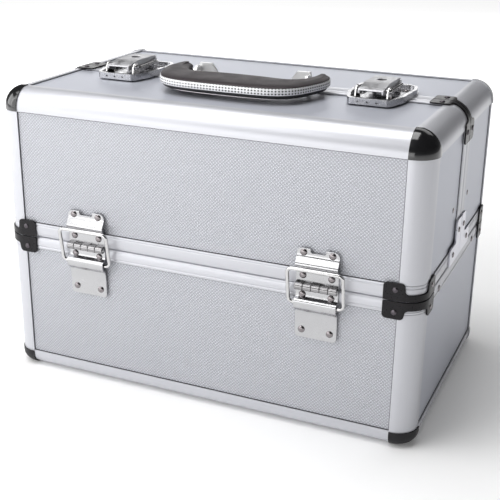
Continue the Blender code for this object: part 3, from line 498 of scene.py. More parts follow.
# painted highlight: the handle brackets are plated metal whose colour is lifted to near white to stand in for the
# bright reflection across them
MOUNT_PAINTED_HIGHLIGHT = grain_metal("painted_highlight_plating", (0.90, 0.90, 0.90), 0.35, 0.30, (1, 1, 1), 0.15, 0.03, 400.0)
LINING = cloth_mat("lining_cloth", (0.012, 0.012, 0.013))
TRAY = plastic_mat("tray_board", (0.022, 0.022, 0.024), 0.5, 0.5, 900.0, 0.0, 0.3)
LEATHER = leather_mat("leatherette", (0.024, 0.0165, 0.0195))
UNDER = plastic_mat("grip_underside", (0.012, 0.011, 0.012), 0.55, 0.4, 800.0)
BRAID = woven_mat("silver_braid")
LOCK = chrome_mat("lock_plug", (0.16, 0.16, 0.17), 0.3)
LATCH = chrome_mat("latch_plating", (0.50, 0.50, 0.515), 0.20)
LATCH_COVER = chrome_mat("latch_cover_plating", (0.56, 0.56, 0.575), 0.36)
HINGE = chrome_mat("hinge_plating", (0.50, 0.50, 0.51), 0.16)
HINGE_DARK = chrome_mat("hinge_joint_plating", (0.30, 0.295, 0.30), 0.14)
PINK = chrome_mat("core_steel", (0.80, 0.74, 0.74), 0.2)
# painted shade: flat dark colour for the shadowed gaps under the extrusion lips
DARK = plastic_mat("painted_gap_shadow", (0.01, 0.01, 0.011), 0.7, 0.2, 300.0)


# --------------------------------------------------------------- case shells
def rounded_block(x, y0, y1, z0, z1, edges, r, seg=14, bottom_r=0.0, bottom_seg=6):
    bm = bmesh.new()
    bmesh.ops.create_cube(bm, size=1.0)
    for v in bm.verts:
        v.co = Vector((-x if v.co.x < 0 else x, y0 if v.co.y < 0 else y1, z0 if v.co.z < 0 else z1))
    tests = {"left": (0, -x), "right": (0, x), "front": (1, y0), "rear": (1, y1), "top": (2, z1)}

    def on(e, name):
        i, c = tests[name]
        return all(abs(v.co[i] - c) < 1e-3 for v in e.verts)
    chosen = [e for e in bm.edges if sum(on(e, n) for n in edges) == 2]
    bmesh.ops.bevel(bm, geom=chosen, offset=r, segments=seg, profile=0.5, affect="EDGES")
    if bottom_r:
        low = [e for e in bm.edges if all(abs(v.co.z - z0) < 1e-3 for v in e.verts)]
        bmesh.ops.bevel(bm, geom=low, offset=bottom_r, segments=bottom_seg, profile=0.5, affect="EDGES")
    bmesh.ops.recalc_face_normals(bm, faces=bm.faces)
    return bm


CARCASS_TOP = SEAM - 5.5
AROUND = ("front", "rear", "left", "right")
LID_EDGES = ("front", "left", "right", "top")
lid_panel_z0 = LID_Z0 + 7.6
lid_panel_y1 = SEAM_Y - 7.6


def paint(bm, rule):
    for f in bm.faces:
        f.material_index = rule(f.calc_center_median(), f.normal)


# base shell: dotted sheet front and rear, plain sheet elsewhere, cloth inside
def base_block(d, z1):
    return rounded_block(HW - d, -HD + d, HD - d, Z0 + d, z1, AROUND, R_EDGE - d, 14, max(R_BOT - d, 0.0))


def inside(c, y_limit=True):
    return abs(c.x) < HW - WALL + 0.2 and abs(c.y) < HD - WALL + 0.2


shell = cut(base_block(REC, CARCASS_TOP),
            rounded_block(HW - WALL, -HD + WALL, HD - WALL, Z0 + WALL, CARCASS_TOP + 9, AROUND, R_EDGE - WALL, 10))
paint(shell, lambda c, n: 2 if (inside(c) and c.z > Z0 + 3) else (0 if abs(n.y) > 0.9 else 1))
piece("base_shell", shell, "base", [DOTS, SHEET, LINING], ["base_carcass"], "carcass_board", 20)


def shadow_gap_frame(axis, plane, rect, w=0.55, up=0.25):
    """Painted shadow where a sheet tucks under the extrusions: a frame of four thin dark strips on one face of the
    case, standing in for the shade under the extrusion lips. rect: lo and hi of the other two axes."""
    (a0, a1), (b0, b1) = rect
    s_ = 1 if plane > 0 else -1
    lo, hi = sorted((plane - s_ * 0.4, plane + s_ * up))
    bars = []
    for p0, p1, q0, q1 in ((a0, a1, b0, b0 + w), (a0, a1, b1 - w, b1), (a0, a0 + w, b0, b1), (a1 - w, a1, b0, b1)):
        bars.append(prism([(p0, q0), (p1, q0), (p1, q1), (p0, q1)], axis, lo, hi))
    return join(*bars)


# dark strips round every panel: painted shadow along the gaps where the sheets run under the extrusions
XI, YI = HW - LEG, HD - LEG
for s_ in (-1, 1):
    piece(f"base_shadow_gap_{'front' if s_ < 0 else 'rear'}", shadow_gap_frame("y", s_ * (HD - REC), ((-XI, XI), (Z0 + BOT_LEG, BAND0))), "base", DARK,
          (), "black_bracket")
    piece(f"base_shadow_gap_{'left' if s_ < 0 else 'right'}", shadow_gap_frame("x", s_ * (HW - REC), ((-YI, YI), (Z0 + BOT_LEG, BAND0))), "base", DARK,
          (), "black_bracket")
    side = "front" if s_ < 0 else "rear"
    yr = (-YI, SEAM_Y - SEAM_BAND) if s_ < 0 else (-SEAM_Y + SEAM_BAND, YI)
    piece(f"{side}_lid_seal_face", shadow_gap_frame("y", s_ * (HD - REC), ((-XI, XI), (LID_Z1, H - LEG))), f"{side}_lid", DARK, (), "black_bracket")
    piece(f"{side}_lid_seal_top", shadow_gap_frame("z", H - REC, ((-XI, XI), yr)), f"{side}_lid", DARK, (), "black_bracket")
    for t_ in (-1, 1):
        piece(f"{side}_lid_seal_{'left' if t_ < 0 else 'right'}", shadow_gap_frame("x", t_ * (HW - REC), (yr, (LID_Z1, H - LEG))), f"{side}_lid", DARK,
              (), "black_bracket")


# lids
def lid_block(d, y1, z0, seg=14):
    return rounded_block(HW - d, -HD + d, y1, z0, H - d, LID_EDGES, R_EDGE - d, seg)


lid_shell = cut(lid_block(REC, lid_panel_y1, lid_panel_z0), lid_block(WALL, 20.0, 100.0, 10))
for bx in (1, -1):
    plate = prism(arc(-65.0, 170.0, 6.0, -45, 135, 8) + arc(-91.0, 147.0, 6.0, 135, 315, 8), "x", *sorted((bx * 174.0, bx * 177.5)))
    lid_shell = union(lid_shell, plate)
    for py, pz in ((-65.0, 170.0), (-91.0, 147.0)):
        lid_shell = union(lid_shell, cylinder("x", (py, pz), 2.2, *sorted((bx * 168.9, bx * 175.0)), 16))
lid_shell.normal_update()
for side, ay in (("front", ""), ("rear", "y")):
    b = turned(lid_shell, ay)
    b.normal_update()
    s = -1 if side == "front" else 1

    def rule(c, n, s=s):
        if abs(c.x) > 168 and abs(c.x) < 176.0 and c.z < 178 and 55 < abs(c.y) < 99:
            return 3
        if abs(c.x) < HW - WALL + 0.2 and s * c.y < HD - WALL + 0.2 and c.z < H - WALL + 0.2:
            return 2
        return 0 if abs(n.y) > 0.9 else 1
    paint(b, rule)
    piece(f"{side}_lid_shell", b, f"{side}_lid", [DOTS, SHEET, LINING, BLACK], [f"{side}_lid_carcass"], "carcass_board", 20)


# ----------------------------------------------------------- edge extrusions
def axis_paint(bm):
    """Three grain directions on one frame: 0 along x, 1 along y, 2 along z."""
    def rule(c, n):
        if abs(c.z) > LEG + 3 and abs(H - c.z) > LEG and abs(c.x) > HW - LEG - 1 and abs(c.y) > HD - LEG - 1:
            return 2
        if abs(c.x) > HW - LEG - 1 and abs(c.y) < HD - LEG:
            return 1
        return 0
    paint(bm, rule)


lower = cut(base_block(0.0, BAND0 - 0.25), base_block(LIP, BAND0 + 9))
x, y = HW - LEG, HD - LEG
zb = Z0 + BOT_LEG
lower = cut(lower, join(box(-x, x, -HD - 1, -HD + 5, zb, 200), box(-x, x, HD - 5, HD + 1, zb, 200),
                        box(-HW - 1, -HW + 5, -y, y, zb, 200), box(HW - 5, HW + 1, -y, y, zb, 200),
                        box(-HW + BOT_LEG, HW - BOT_LEG, -HD + BOT_LEG, HD - BOT_LEG, -1, 5)))
axis_paint(lower)
piece("base_lower_edges", lower, "base", [ALU_X, ALU_Y, ALU_Z], ["base_lower_frame"], "anodised_extrusion", 24)

y1, z0 = SEAM_Y - SEAM_BAND - 0.3, LID_Z1 + 0.3
edge = cut(lid_block(0.0, y1, z0), lid_block(LIP, y1 + 20, z0 - 20))
x, y, z = HW - LEG, -HD + LEG, H - LEG
edge = cut(edge, join(box(-x, x, -HD - 1, -HD + 5, 100, z), box(-x, x, y, 30, H - 5, H + 1),
                      box(-HW - 1, -HW + 5, y, 30, 100, z), box(HW - 5, HW + 1, y, 30, 100, z)))
for side, ay in (("front", ""), ("rear", "y")):
    b = turned(edge, ay)
    b.normal_update()
    axis_paint(b)
    piece(f"{side}_lid_edges", b, f"{side}_lid", [ALU_X, ALU_Y, ALU_Z], [f"{side}_lid_edge_frame"], "anodised_extrusion", 24)


def plan_ring(n=14):
    out = []
    for cx, cy, a0 in ((HW - R_EDGE, -HD + R_EDGE, -90), (HW - R_EDGE, HD - R_EDGE, 0),
                       (-HW + R_EDGE, HD - R_EDGE, 90), (-HW + R_EDGE, -HD + R_EDGE, 180)):
        for k in range(n + 1):
            a = math.radians(a0 + 90 * k / n)
            c, s = math.cos(a), math.sin(a)
            out.append(((cx + R_EDGE * c, cy + R_EDGE * s, 0), (-c, -s, 0), (0, 0, 1)))
    return out


# rim of the base: rolled top, a shallow groove lower down
zt = SEAM - GAP
rim_sec = [(0.15, BAND0), (0.0, BAND0 + 0.4), (0.0, BAND0 + 1.6), (0.35, BAND0 + 2.1), (0.35, BAND0 + 2.5), (0.0, BAND0 + 3.0),
           (0.0, zt - 5.2), (0.12, zt - 3.4), (0.35, zt - 2.0), (0.75, zt - 1.0), (1.3, zt - 0.35), (2.0, zt), (WALL, zt),
           (WALL, CARCASS_TOP + 0.3), (LIP, CARCASS_TOP + 0.3), (LIP, BAND0)]
b = sweep(plan_ring(), rim_sec, True)
b.normal_update()
paint(b, lambda c, n: 1 if abs(c.x) > HW - 7 else 0)
piece("base_rim_extrusion", b, "base", [ALU_X, ALU_Y], ["base_rim"], "anodised_extrusion", 28)


def lid_rim():
    n = 14
    path = [((-HW, SEAM_Y, 0), (1, 0, 0), (0, 0, 1))]
    for cx, a0 in ((-HW + R_EDGE, 180), (HW - R_EDGE, 270)):
        for k in range(n + 1):
            a = math.radians(a0 + 90 * k / n)
            c, s = math.cos(a), math.sin(a)
            path.append(((cx + R_EDGE * c, -HD + R_EDGE + R_EDGE * s, 0), (-c, -s, 0), (0, 0, 1)))
    path.append(((HW, SEAM_Y, 0), (-1, 0, 0), (0, 0, 1)))
    zi, zl = lid_panel_z0 - 0.3, LID_Z0
    sec = [(LIP, LID_Z1), (0.15, LID_Z1), (0.0, LID_Z1 - 0.4), (0.0, LID_Z1 - 1.4), (0.35, LID_Z1 - 1.9), (0.35, LID_Z1 - 2.4),
           (0.0, LID_Z1 - 2.9), (0.0, zl + 6.0), (0.1, zl + 4.0), (0.3, zl + 2.4), (0.7, zl + 1.1), (1.3, zl + 0.35), (2.0, zl),
           (WALL, zl), (WALL, zi), (LIP, zi)]
    return sweep(path, sec, False)


def lid_seam_frame():
    n = 14
    path = [((-HW, 0, LID_Z1 + 0.2), (1, 0, 0), (0, 1, 0))]
    for cx, a0 in ((-HW + R_EDGE, 180), (HW - R_EDGE, 90)):
        for k in range(n + 1):
            a = math.radians(a0 - 90 * k / n)
            c, s = math.cos(a), math.sin(a)
            path.append(((cx + R_EDGE * c, 0, H - R_EDGE + R_EDGE * s), (-c, 0, -s), (0, 1, 0)))
    path.append(((HW, 0, LID_Z1 + 0.2), (-1, 0, 0), (0, 1, 0)))
    yi = lid_panel_y1 + 0.3
    y0 = SEAM_Y - SEAM_BAND
    sec = [(LIP, y0), (0.15, y0), (0.0, y0 + 0.4), (0.0, y0 + 1.6), (0.3, y0 + 2.0), (0.3, y0 + 2.4), (0.0, y0 + 2.8),
           (0.0, SEAM_Y - 2.6), (0.25, SEAM_Y - 1.2), (0.9, SEAM_Y - 0.25), (1.8, SEAM_Y), (WALL, SEAM_Y), (WALL, yi), (LIP, yi)]
    return sweep(path, sec, False)


def joint_plate():
    out = [(-0.6, LID_Z0 + 0.8), (-0.6, 156.5), (-1.2, 158.0), (-3.0, 158.5), (-13.0, 158.5), (-14.8, 157.8), (-15.5, 156.0),
           (-15.5, 142.6), (-16.4, 140.4), (-18.5, 139.5), (-32.5, 139.5), (-34.0, 138.9), (-34.5, 137.5),
           (-34.5, LID_Z0 + 2.8), (-34.0, LID_Z0 + 1.3), (-32.5, LID_Z0 + 0.8)]
    return prism(out, "x", HW + 0.02, HW + 1.5)


rim, seam_frame, jp = lid_rim(), lid_seam_frame(), joint_plate()
for side, ay in (("front", ""), ("rear", "y")):
    body = f"{side}_lid"
    b = turned(rim, ay)
    b.normal_update()
    paint(b, lambda c, n: 1 if abs(c.x) > HW - 7 else 0)
    piece(f"{side}_lid_rim", b, body, [ALU_X, ALU_Y], [f"{side}_lid_mouth_frame"], "anodised_extrusion", 28)
    b = turned(seam_frame, ay)
    b.normal_update()
    paint(b, lambda c, n: 0 if c.z > H - 7 else 1)
    piece(f"{side}_lid_seam_frame", b, body, [ALU_X, ALU_Z], (), "anodised_extrusion", 28)
    for hand, ax in (("right", ""), ("left", "x")):
        piece(f"{side}_lid_{hand}_joint_plate", turned(jp, ax + ay), body, ZINC, (), "hinge_chrome", 30, 0.3)
        rv = join(rivet((HW + 1.5, -8.5, 149.0), (1, 0, 0), 2.3, 1.0), rivet((HW + 1.5, -25.0, 132.8), (1, 0, 0), 2.3, 1.0))
        piece(f"{side}_lid_{hand}_joint_rivets", turned(rv, ax + ay), body, RIVET, (), "hinge_chrome")
        rv = rivet((HW - REC, -26.0, 170.0), (1, 0, 0), 2.3, 0.7)
        piece(f"{side}_lid_{hand}_bracket_rivet", turned(rv, ax + ay), body, RIVET, (), "hinge_chrome")
for name, ax, ay in CORNERS:
    rv = rivet((-HW, -61.0, 117.5), (-1, 0, 0), 2.6, 1.0)
    piece(f"base_{name}_arm_rivet", turned(rv, ax + ay), "base", RIVET, (), "hinge_chrome")


# -------------------------------------------------------------- corner caps
def corner_cap(lo_z, lid):
    d0, d1 = -0.9, 0.25

    def block(d, hi):
        bm = bmesh.new()
        bmesh.ops.create_cube(bm, size=1.0)
        for v in bm.verts:
            v.co = Vector([d if c < 0 else hi for c in v.co])
        e = [e for e in bm.edges if sum(all(abs(v.co[i] - d) < 1e-3 for v in e.verts) for i in range(3)) == 2]
        bmesh.ops.bevel(bm, geom=e, offset=R_EDGE - d, segments=14, profile=0.5, affect="EDGES")
        bmesh.ops.recalc_face_normals(bm, faces=bm.faces)
        return bm

    def foot(d, zlo, hi, zhi):
        bm = bmesh.new()
        bmesh.ops.create_cube(bm, size=1.0)
        for v in bm.verts:
            v.co = Vector((d if v.co.x < 0 else hi, d if v.co.y < 0 else hi, zlo if v.co.z < 0 else zhi))
        e = [e for e in bm.edges if all(abs(v.co.x - d) < 1e-3 and abs(v.co.y - d) < 1e-3 for v in e.verts)]
        bmesh.ops.bevel(bm, geom=e, offset=R_EDGE - d, segments=14, profile=0.5, affect="EDGES")
        e = [e for e in bm.edges if all(abs(v.co.z - zlo) < 1e-3 for v in e.verts)
             and not all(abs(v.co.x - hi) < 1e-3 for v in e.verts) and not all(abs(v.co.y - hi) < 1e-3 for v in e.verts)]
        bmesh.ops.bevel(bm, geom=e, offset=R_BOT - d, segments=6, profile=0.5, affect="EDGES")
        bmesh.ops.recalc_face_normals(bm, faces=bm.faces)
        return bm
    if lid:
        cap = cut(block(d0, LEG), block(-0.02, LEG + 3))
        m = Matrix.Translation((-HW, -HD, H)) @ Matrix.Diagonal((1, 1, -1, 1))
        bmesh.ops.transform(cap, matrix=m, verts=cap.verts)
        bmesh.ops.reverse_faces(cap, faces=cap.faces)
    else:
        cap = cut(foot(d0, 0.0, LEG, BOT_LEG + 0.3), foot(-0.02, Z0 - 0.02, LEG + 2, BOT_LEG + 3))
        bmesh.ops.transform(cap, matrix=Matrix.Translation((-HW, -HD, 0)), verts=cap.verts)
    return cap


lid_cap, base_cap = corner_cap(0, True), corner_cap(0, False)
for side, ay in (("front", ""), ("rear", "y")):
    for hand, ax in (("left", ""), ("right", "x")):
        # rear caps take the mid grey painted reflection in place of gloss black
        mat, slot = (CAP_GLOSS, "gloss_cap") if side == "front" else (CAP_PAINTED_REFLECTION, "rear_cap")
        piece(f"{side}_lid_{hand}_corner", turned(lid_cap, ax + ay), f"{side}_lid", mat, [f"{side}_lid_{hand}_cap"], slot, 40)
        mat, slot = (CAP_MATT, "matt_cap") if side == "front" else (CAP_PAINTED_REFLECTION, "rear_cap")
        piece(f"base_{side}_{hand}_corner", turned(base_cap, ax + ay), "base", mat, [f"base_{side}_{hand}_cap"], slot, 40)


# ------------------------------------------------------------ seam brackets
BR_T, BR_G = 1.3, 0.03
PL0, PL1, PL_H, ST_H = 13.5, 30.0, 14.0, 5.0


def bracket_strip(edge_h, strip, plate, up, pl1=PL1):
    r = R_EDGE
    sgn = 1 if up else -1
    half = r * math.pi / 4

    def at(s):
        t = abs(s)
        if t >= half:
            p, q = (r + t - half, 0.0), (0.0, -1.0)
        else:
            a = math.radians(225) + t / r
            p, q = (r + r * math.cos(a), r + r * math.sin(a)), (math.cos(a), math.sin(a))
        return (p, q) if s <= 0 else (p[::-1], q[::-1])
    far, near = pl1 - r + half, PL0 - r + half
    cr = 3.2
    steps = [(far - cr + cr * math.sin(math.radians(a)), plate - cr + cr * math.cos(math.radians(a))) for a in (90, 70, 50, 30, 15, 0)]
    steps += [(near + cr - cr * math.sin(math.radians(a)), plate - cr + cr * math.cos(math.radians(a))) for a in (0, 15, 30, 50, 70, 90)]
    # concave foot where the plate runs into the strip
    fr = 2.6
    top = plate - cr
    steps += [(near - 0.15, top - (top - strip - fr) * 0.5), (near - 0.3, strip + fr)]
    steps += [(near - 0.3 - fr + fr * math.cos(math.radians(a)), strip + fr - fr * math.sin(math.radians(a))) for a in (25, 50, 75, 90)]
    lastd = steps[-1][0]
    steps += [(lastd * (1 - k / 8), strip) for k in range(1, 8)]
    line = [(-d, h) for d, h in steps] + [(0.0, strip)] + [(d, h) for d, h in steps[::-1]]
    bm = bmesh.new()
    rows = []
    for d, h in line:
        p, q = at(d)
        rows.append([bm.verts.new((p[0] + q[0] * o, p[1] + q[1] * o, edge_h + sgn * zz))
                     for o, zz in ((BR_G, 0), (BR_G + BR_T, 0), (BR_G + BR_T, h), (BR_G, h))])
    for r0, r1 in zip(rows, rows[1:]):
        for j in range(4):
            bm.faces.new((r0[j], r1[j], r1[(j + 1) % 4], r0[(j + 1) % 4]))
    bm.faces.new(rows[0])
    bm.faces.new(rows[-1][::-1])
    bmesh.ops.recalc_face_normals(bm, faces=bm.faces)
    return bm


BR_M = (PL0 + PL1) / 2 - 1.0
BR_OUT = 0.3 + BR_T
up_b = bracket_strip(LID_Z0 + 0.3, ST_H, PL_H, True)
lo_b = bracket_strip(SEAM - GAP - 0.3, ST_H + 1.5, PL_H, False)
for bm_ in (up_b, lo_b):
    bmesh.ops.transform(bm_, matrix=Matrix.Translation((-HW, -HD, 0)), verts=bm_.verts)
top_b = bracket_strip(SEAM_Y - 0.3, ST_H, PL_H, False)
bmesh.ops.transform(top_b, matrix=Matrix(((1, 0, 0, -HW), (0, 0, 1, 0), (0, -1, 0, H), (0, 0, 0, 1))), verts=top_b.verts)
bmesh.ops.recalc_face_normals(top_b, faces=top_b.faces)


def plate_rivets(pts, r=2.2, h=1.0):
    return join(*[rivet(c, n, r, h) for c, n in pts])


for name, ax, ay in CORNERS:
    side, hand = name.split("_")
    piece(f"{name}_lid_bracket", turned(up_b, ax + ay), f"{side}_lid", BLACK, [f"{side}_lid_{hand}_bracket"], "black_bracket", 30, 0.3)
    piece(f"{name}_base_bracket", turned(lo_b, ax + ay), "base", BLACK, [f"base_{name}_bracket"], "black_bracket", 30, 0.3)
    piece(f"{name}_top_bracket", turned(top_b, ax + ay), f"{side}_lid", BLACK, [f"{side}_lid_{hand}_top_bracket"], "black_bracket", 30, 0.3)
    o = BR_G + BR_T
    zl, zb_ = LID_Z0 + 8.8, SEAM - GAP - 8.8
    fr = plate_rivets([((-HW + BR_M, -HD - o, zl), (0, -1, 0))])
    piece(f"{name}_lid_bracket_rivet_front", turned(fr, ax + ay), f"{side}_lid", BLACK_RIVET, (), "black_bracket")
    sr = plate_rivets([((-HW - o, -HD + BR_M, zl), (-1, 0, 0))])
    piece(f"{name}_lid_bracket_rivet_side", turned(sr, ax + ay), f"{side}_lid", RIVET, (), "hinge_chrome")
    fr = plate_rivets([((-HW + BR_M, -HD - o, zb_), (0, -1, 0))])
    piece(f"{name}_base_bracket_rivet_front", turned(fr, ax + ay), "base", BLACK_RIVET, (), "black_bracket")
    sr = plate_rivets([((-HW - o, -HD + BR_M, zb_), (-1, 0, 0))])
    piece(f"{name}_base_bracket_rivet_side", turned(sr, ax + ay), "base", RIVET, (), "hinge_chrome")
    tr = plate_rivets([((-HW + BR_M, SEAM_Y - 8.3, H + o), (0, 0, 1)), ((-HW - o, SEAM_Y - 8.3, H - BR_M), (-1, 0, 0))])
    piece(f"{name}_top_bracket_rivets", turned(tr, ax + ay), f"{side}_lid", BLACK_RIVET, (), "black_bracket")


# ------------------------------------------------------------------- hinges
LEAF_T = 1.2
LID_LEAF = [(0.9, 154.2), (0.9, 148.0), (4.6, 142.4), (4.6, 140.4), (1.0, 137.4), (1.0, 125.0)]
BASE_LEAF = [(1.0, 123.0), (1.0, 114.8), (5.9, 112.8), (5.9, 107.2), (2.0, 103.4), (0.9, 95.5), (0.9, 80.5)]


def leaf_sheet(line, r_end, lid):
    """Bent sheet with rounded outer corners."""
    pts = fillet(line, 1.6, 5)
    # extra stations near the free end for its rounded corners
    end = 0 if lid else -1
    v = Vector(pts[end])
    w = Vector(pts[1] if lid else pts[-2])
    d = (w - v)
    L = d.length
    d.normalize()
    extra = [tuple(v + d * t) for t in (0.12, 0.5, 1.1, 1.9, 2.8, 3.8) if t < L]
    pts = [pts[0]] + extra + pts[1:] if lid else pts[:-1] + extra[::-1] + [pts[-1]]
    bm = bmesh.new()
    rows = []
    n = len(pts)
    half = LEAF_W / 2
    for i, p in enumerate(pts):
        p = Vector(p)
        a = (Vector(pts[min(i + 1, n - 1)]) - Vector(pts[max(i - 1, 0)])).normalized()
        nrm = Vector((-a.y, a.x))
        if nrm.x < 0:
            nrm = -nrm
        t = (p - v).length if end == 0 else (p - Vector(pts[-1])).length
        k = half
        if t < r_end:
            k = half - (r_end - math.sqrt(max(0.0, r_end ** 2 - (r_end - t) ** 2)))
        o, q = p + nrm * LEAF_T / 2, p - nrm * LEAF_T / 2
        rows.append([bm.verts.new((-k, -HD - q.x, q.y)), bm.verts.new((k, -HD - q.x, q.y)),
                     bm.verts.new((k, -HD - o.x, o.y)), bm.verts.new((-k, -HD - o.x, o.y))])
    for r0, r1 in zip(rows, rows[1:]):
        for j in range(4):
            bm.faces.new((r0[j], r1[j], r1[(j + 1) % 4], r0[(j + 1) % 4]))
    bm.faces.new(rows[0])
    bm.faces.new(rows[-1][::-1])
    bmesh.ops.recalc_face_normals(bm, faces=bm.faces)
    return bm


def knuckle_set(lid):
    out = []
    half, step = LEAF_W / 2, LEAF_W / 5
    for k in range(5):
        if (k % 2 == 0) == lid:
            x0, x1 = -half + k * step + 0.15, -half + (k + 1) * step - 0.15
            out.append(cylinder("x", (-HD - PIN_U, SEAM), 3.0, x0, x1, 24, 0.3))
            z0_, z1_ = (SEAM + 0.6, SEAM + 3.0) if lid else (SEAM - 3.0, SEAM - 0.6)
            out.append(box(x0, x1, -HD - 4.0, -HD - 0.4, *sorted((SEAM + (1.8 if lid else -1.8), SEAM + (3.0 if lid else -3.0)))))
    return join(*out)


lid_leaf = leaf_sheet(LID_LEAF, 4.0, True)
notch = prism([(-6.2, 160), (-6.2, 152.6)] + arc(-4.4, 152.6, 1.8, 180, 270, 5)[1:] + arc(4.4, 152.6, 1.8, 270, 360, 5) + [(6.2, 160)],
              "y", -HD - 4, -HD + 3)
lid_leaf = cut(lid_leaf, notch)
base_leaf = leaf_sheet(BASE_LEAF, 3.2, False)
for name, ax, ay in CORNERS:
    side, hand = name.split("_")
    lb, bb = f"{side}_lid", "base"
    piece(f"{name}_hinge_lid_leaf", turned(moved(lid_leaf, x=-HINGE_X), ax + ay), lb, HINGE, [f"{side}_lid_{hand}_hinge_leaf"],
          "hinge_chrome", 25, 0.25)
    piece(f"{name}_hinge_lid_knuckles", turned(moved(knuckle_set(True), x=-HINGE_X), ax + ay), lb, HINGE_DARK, (), "hinge_chrome", 40)
    piece(f"{name}_hinge_base_leaf", turned(moved(base_leaf, x=-HINGE_X), ax + ay), bb, HINGE, [f"base_{name}_hinge_leaf"],
          "hinge_chrome", 25, 0.25)
    piece(f"{name}_hinge_base_knuckles", turned(moved(knuckle_set(False), x=-HINGE_X), ax + ay), bb, HINGE_DARK, (), "hinge_chrome", 40)
    pin = cylinder("x", (-HD - PIN_U, SEAM), 1.5, -LEAF_W / 2 - 0.6, LEAF_W / 2 + 0.6, 20, 0.3)
    piece(f"{name}_hinge_pin", turned(moved(pin, x=-HINGE_X), ax + ay), bb, CHROME_SOFT, (), "hinge_chrome", 40)
    lr = join(*[rivet((-HINGE_X + dx, -HD - u - LEAF_T / 2, zz), (0, -1, 0), 2.8, 1.6)
                for zz, u in ((151.0, 0.9), (132.6, 1.0)) for dx in (-11.5, 11.5)])
    piece(f"{name}_hinge_lid_rivets", turned(lr, ax + ay), lb, RIVET, (), "hinge_chrome", 40)
    br = join(*[rivet((-HINGE_X + dx, -HD - u - LEAF_T / 2, zz), (0, -1, 0), 2.8, 1.6)
                for zz, u in ((116.9, 1.0), (87.2, 0.9)) for dx in (-11.5, 11.5)])
    piece(f"{name}_hinge_base_rivets", turned(br, ax + ay), bb, RIVET, (), "hinge_chrome", 40)


def hinge_ring():
    a = math.radians(RING_TILT)
    q = Vector((0, -HD - RING_Q[0], RING_Q[1]))
    up = Vector((0, -math.sin(a), math.cos(a)))
    hx, r = RING_W / 2, 4.0
    nrm = Vector((0, -math.cos(a), -math.sin(a)))
    path = []
    for cx, cz, a0 in ((hx - r, r, -90), (hx - r, RING_L - r, 0), (-hx + r, RING_L - r, 90), (-hx + r, r, 180)):
        for k in range(9):
            t = math.radians(a0 + 11.25 * k)
            p = Vector((cx + r * math.cos(t), cz + r * math.sin(t)))
            n = Vector((math.cos(t), math.sin(t)))
            path.append((tuple(q + Vector((p.x, 0, 0)) + up * p.y), tuple(-(Vector((n.x, 0, 0)) + up * n.y)), tuple(nrm)))
    return sweep(path, arc(0, 0, RING_R, 0, 337.5, 15), True)


ring = hinge_ring()
for name, ax, ay in CORNERS:
    side, hand = name.split("_")
    piece(f"{name}_ring", turned(moved(ring, x=-HINGE_X), ax + ay), f"{side}_rings", CHROME, [f"{side}_{hand}_hinge_ring"],
          "hinge_chrome", 60)


# ------------------------------------------------------------------ latches
def round_plan(pts, r, n=4):
    """Round every corner of a closed outline."""
    out = []
    m = len(pts)
    for i in range(m):
        a, b, c = Vector(pts[i - 1]), Vector(pts[i]), Vector(pts[(i + 1) % m])
        u, v = a - b, c - b
        d = min(r, u.length * 0.45, v.length * 0.45)
        p0, p2 = b + u.normalized() * d, b + v.normalized() * d
        for k in range(n + 1):
            t = k / n
            out.append(tuple(p0 * (1 - t) ** 2 + b * 2 * t * (1 - t) + p2 * t ** 2))
    return out


def latch_body():
    z0_ = H + 0.05
    plan = [(-24.5, -0.8), (-23.3, -21.5), (-17.8, -40.1), (-15.5, -42.4), (15.5, -42.4), (17.8, -40.1), (23.3, -21.5), (24.5, -0.8)]
    plan = [plan[0]] + round_plan(plan, 3.0)[5:-5] + [plan[-1]]
    inner = [(-21.7, 5), (-20.6, -21.2), (-15.6, -38.4), (-14.4, -39.6), (14.4, -39.6), (15.6, -38.4), (20.6, -21.2), (21.7, 5)]
    inner = [inner[0]] + round_plan(inner, 3.0)[5:-5] + [inner[-1]]
    sheet = prism(plan, "z", z0_, z0_ + 1.4)
    rim_ = cut(prism(plan, "z", z0_ + 0.4, z0_ + 5.2), prism(inner, "z", z0_, z0_ + 9))
    b = union(sheet, rim_)
    # slots in the front lip
    for sx in (-7.5, 0.0, 7.5):
        b = cut(b, prism(arc(sx - 1.0, z0_ + 2.4, 0.75, 90, 270, 5) + arc(sx + 1.0, z0_ + 2.4, 0.75, -90, 90, 5), "y", -46.0, -41.2))
    return b


def latch_ear(x0, x1):
    z0_ = H + 0.05
    return prism([(-36.0, z0_ + 0.6), (-23.0, z0_ + 0.6), (-25.6, 260.2)] + arc(-30.0, 259.5, 3.6, 14, 166, 12) + [(-34.6, 260.2)],
                 "x", x0, x1)


def latch_cover():
    side_ = [(-37.6, 258.4), (-36.9, 257.6), (-33.0, 257.2), (-4.0, 257.6), (-3.0, 257.9), (9.6, 260.6), (10.9, 262.2), (10.9, 262.8),
             (9.6, 263.4), (0.0, 263.7), (-20.0, 263.7), (-22.2, 263.5), (-36.6, 261.3), (-37.6, 260.7)]
    lev = prism(side_, "x", -10.2, 10.2)
    lev = cut(lev, prism([(-40.0, 250.0), (-40.0, 259.7), (-22.5, 262.2), (-14.0, 262.2), (-14.0, 250.0)], "x", -8.7, 8.7))
    return cut(lev, cylinder("z", (0.0, LOCK_Y), 3.9, 250.0, 270.0, 40))


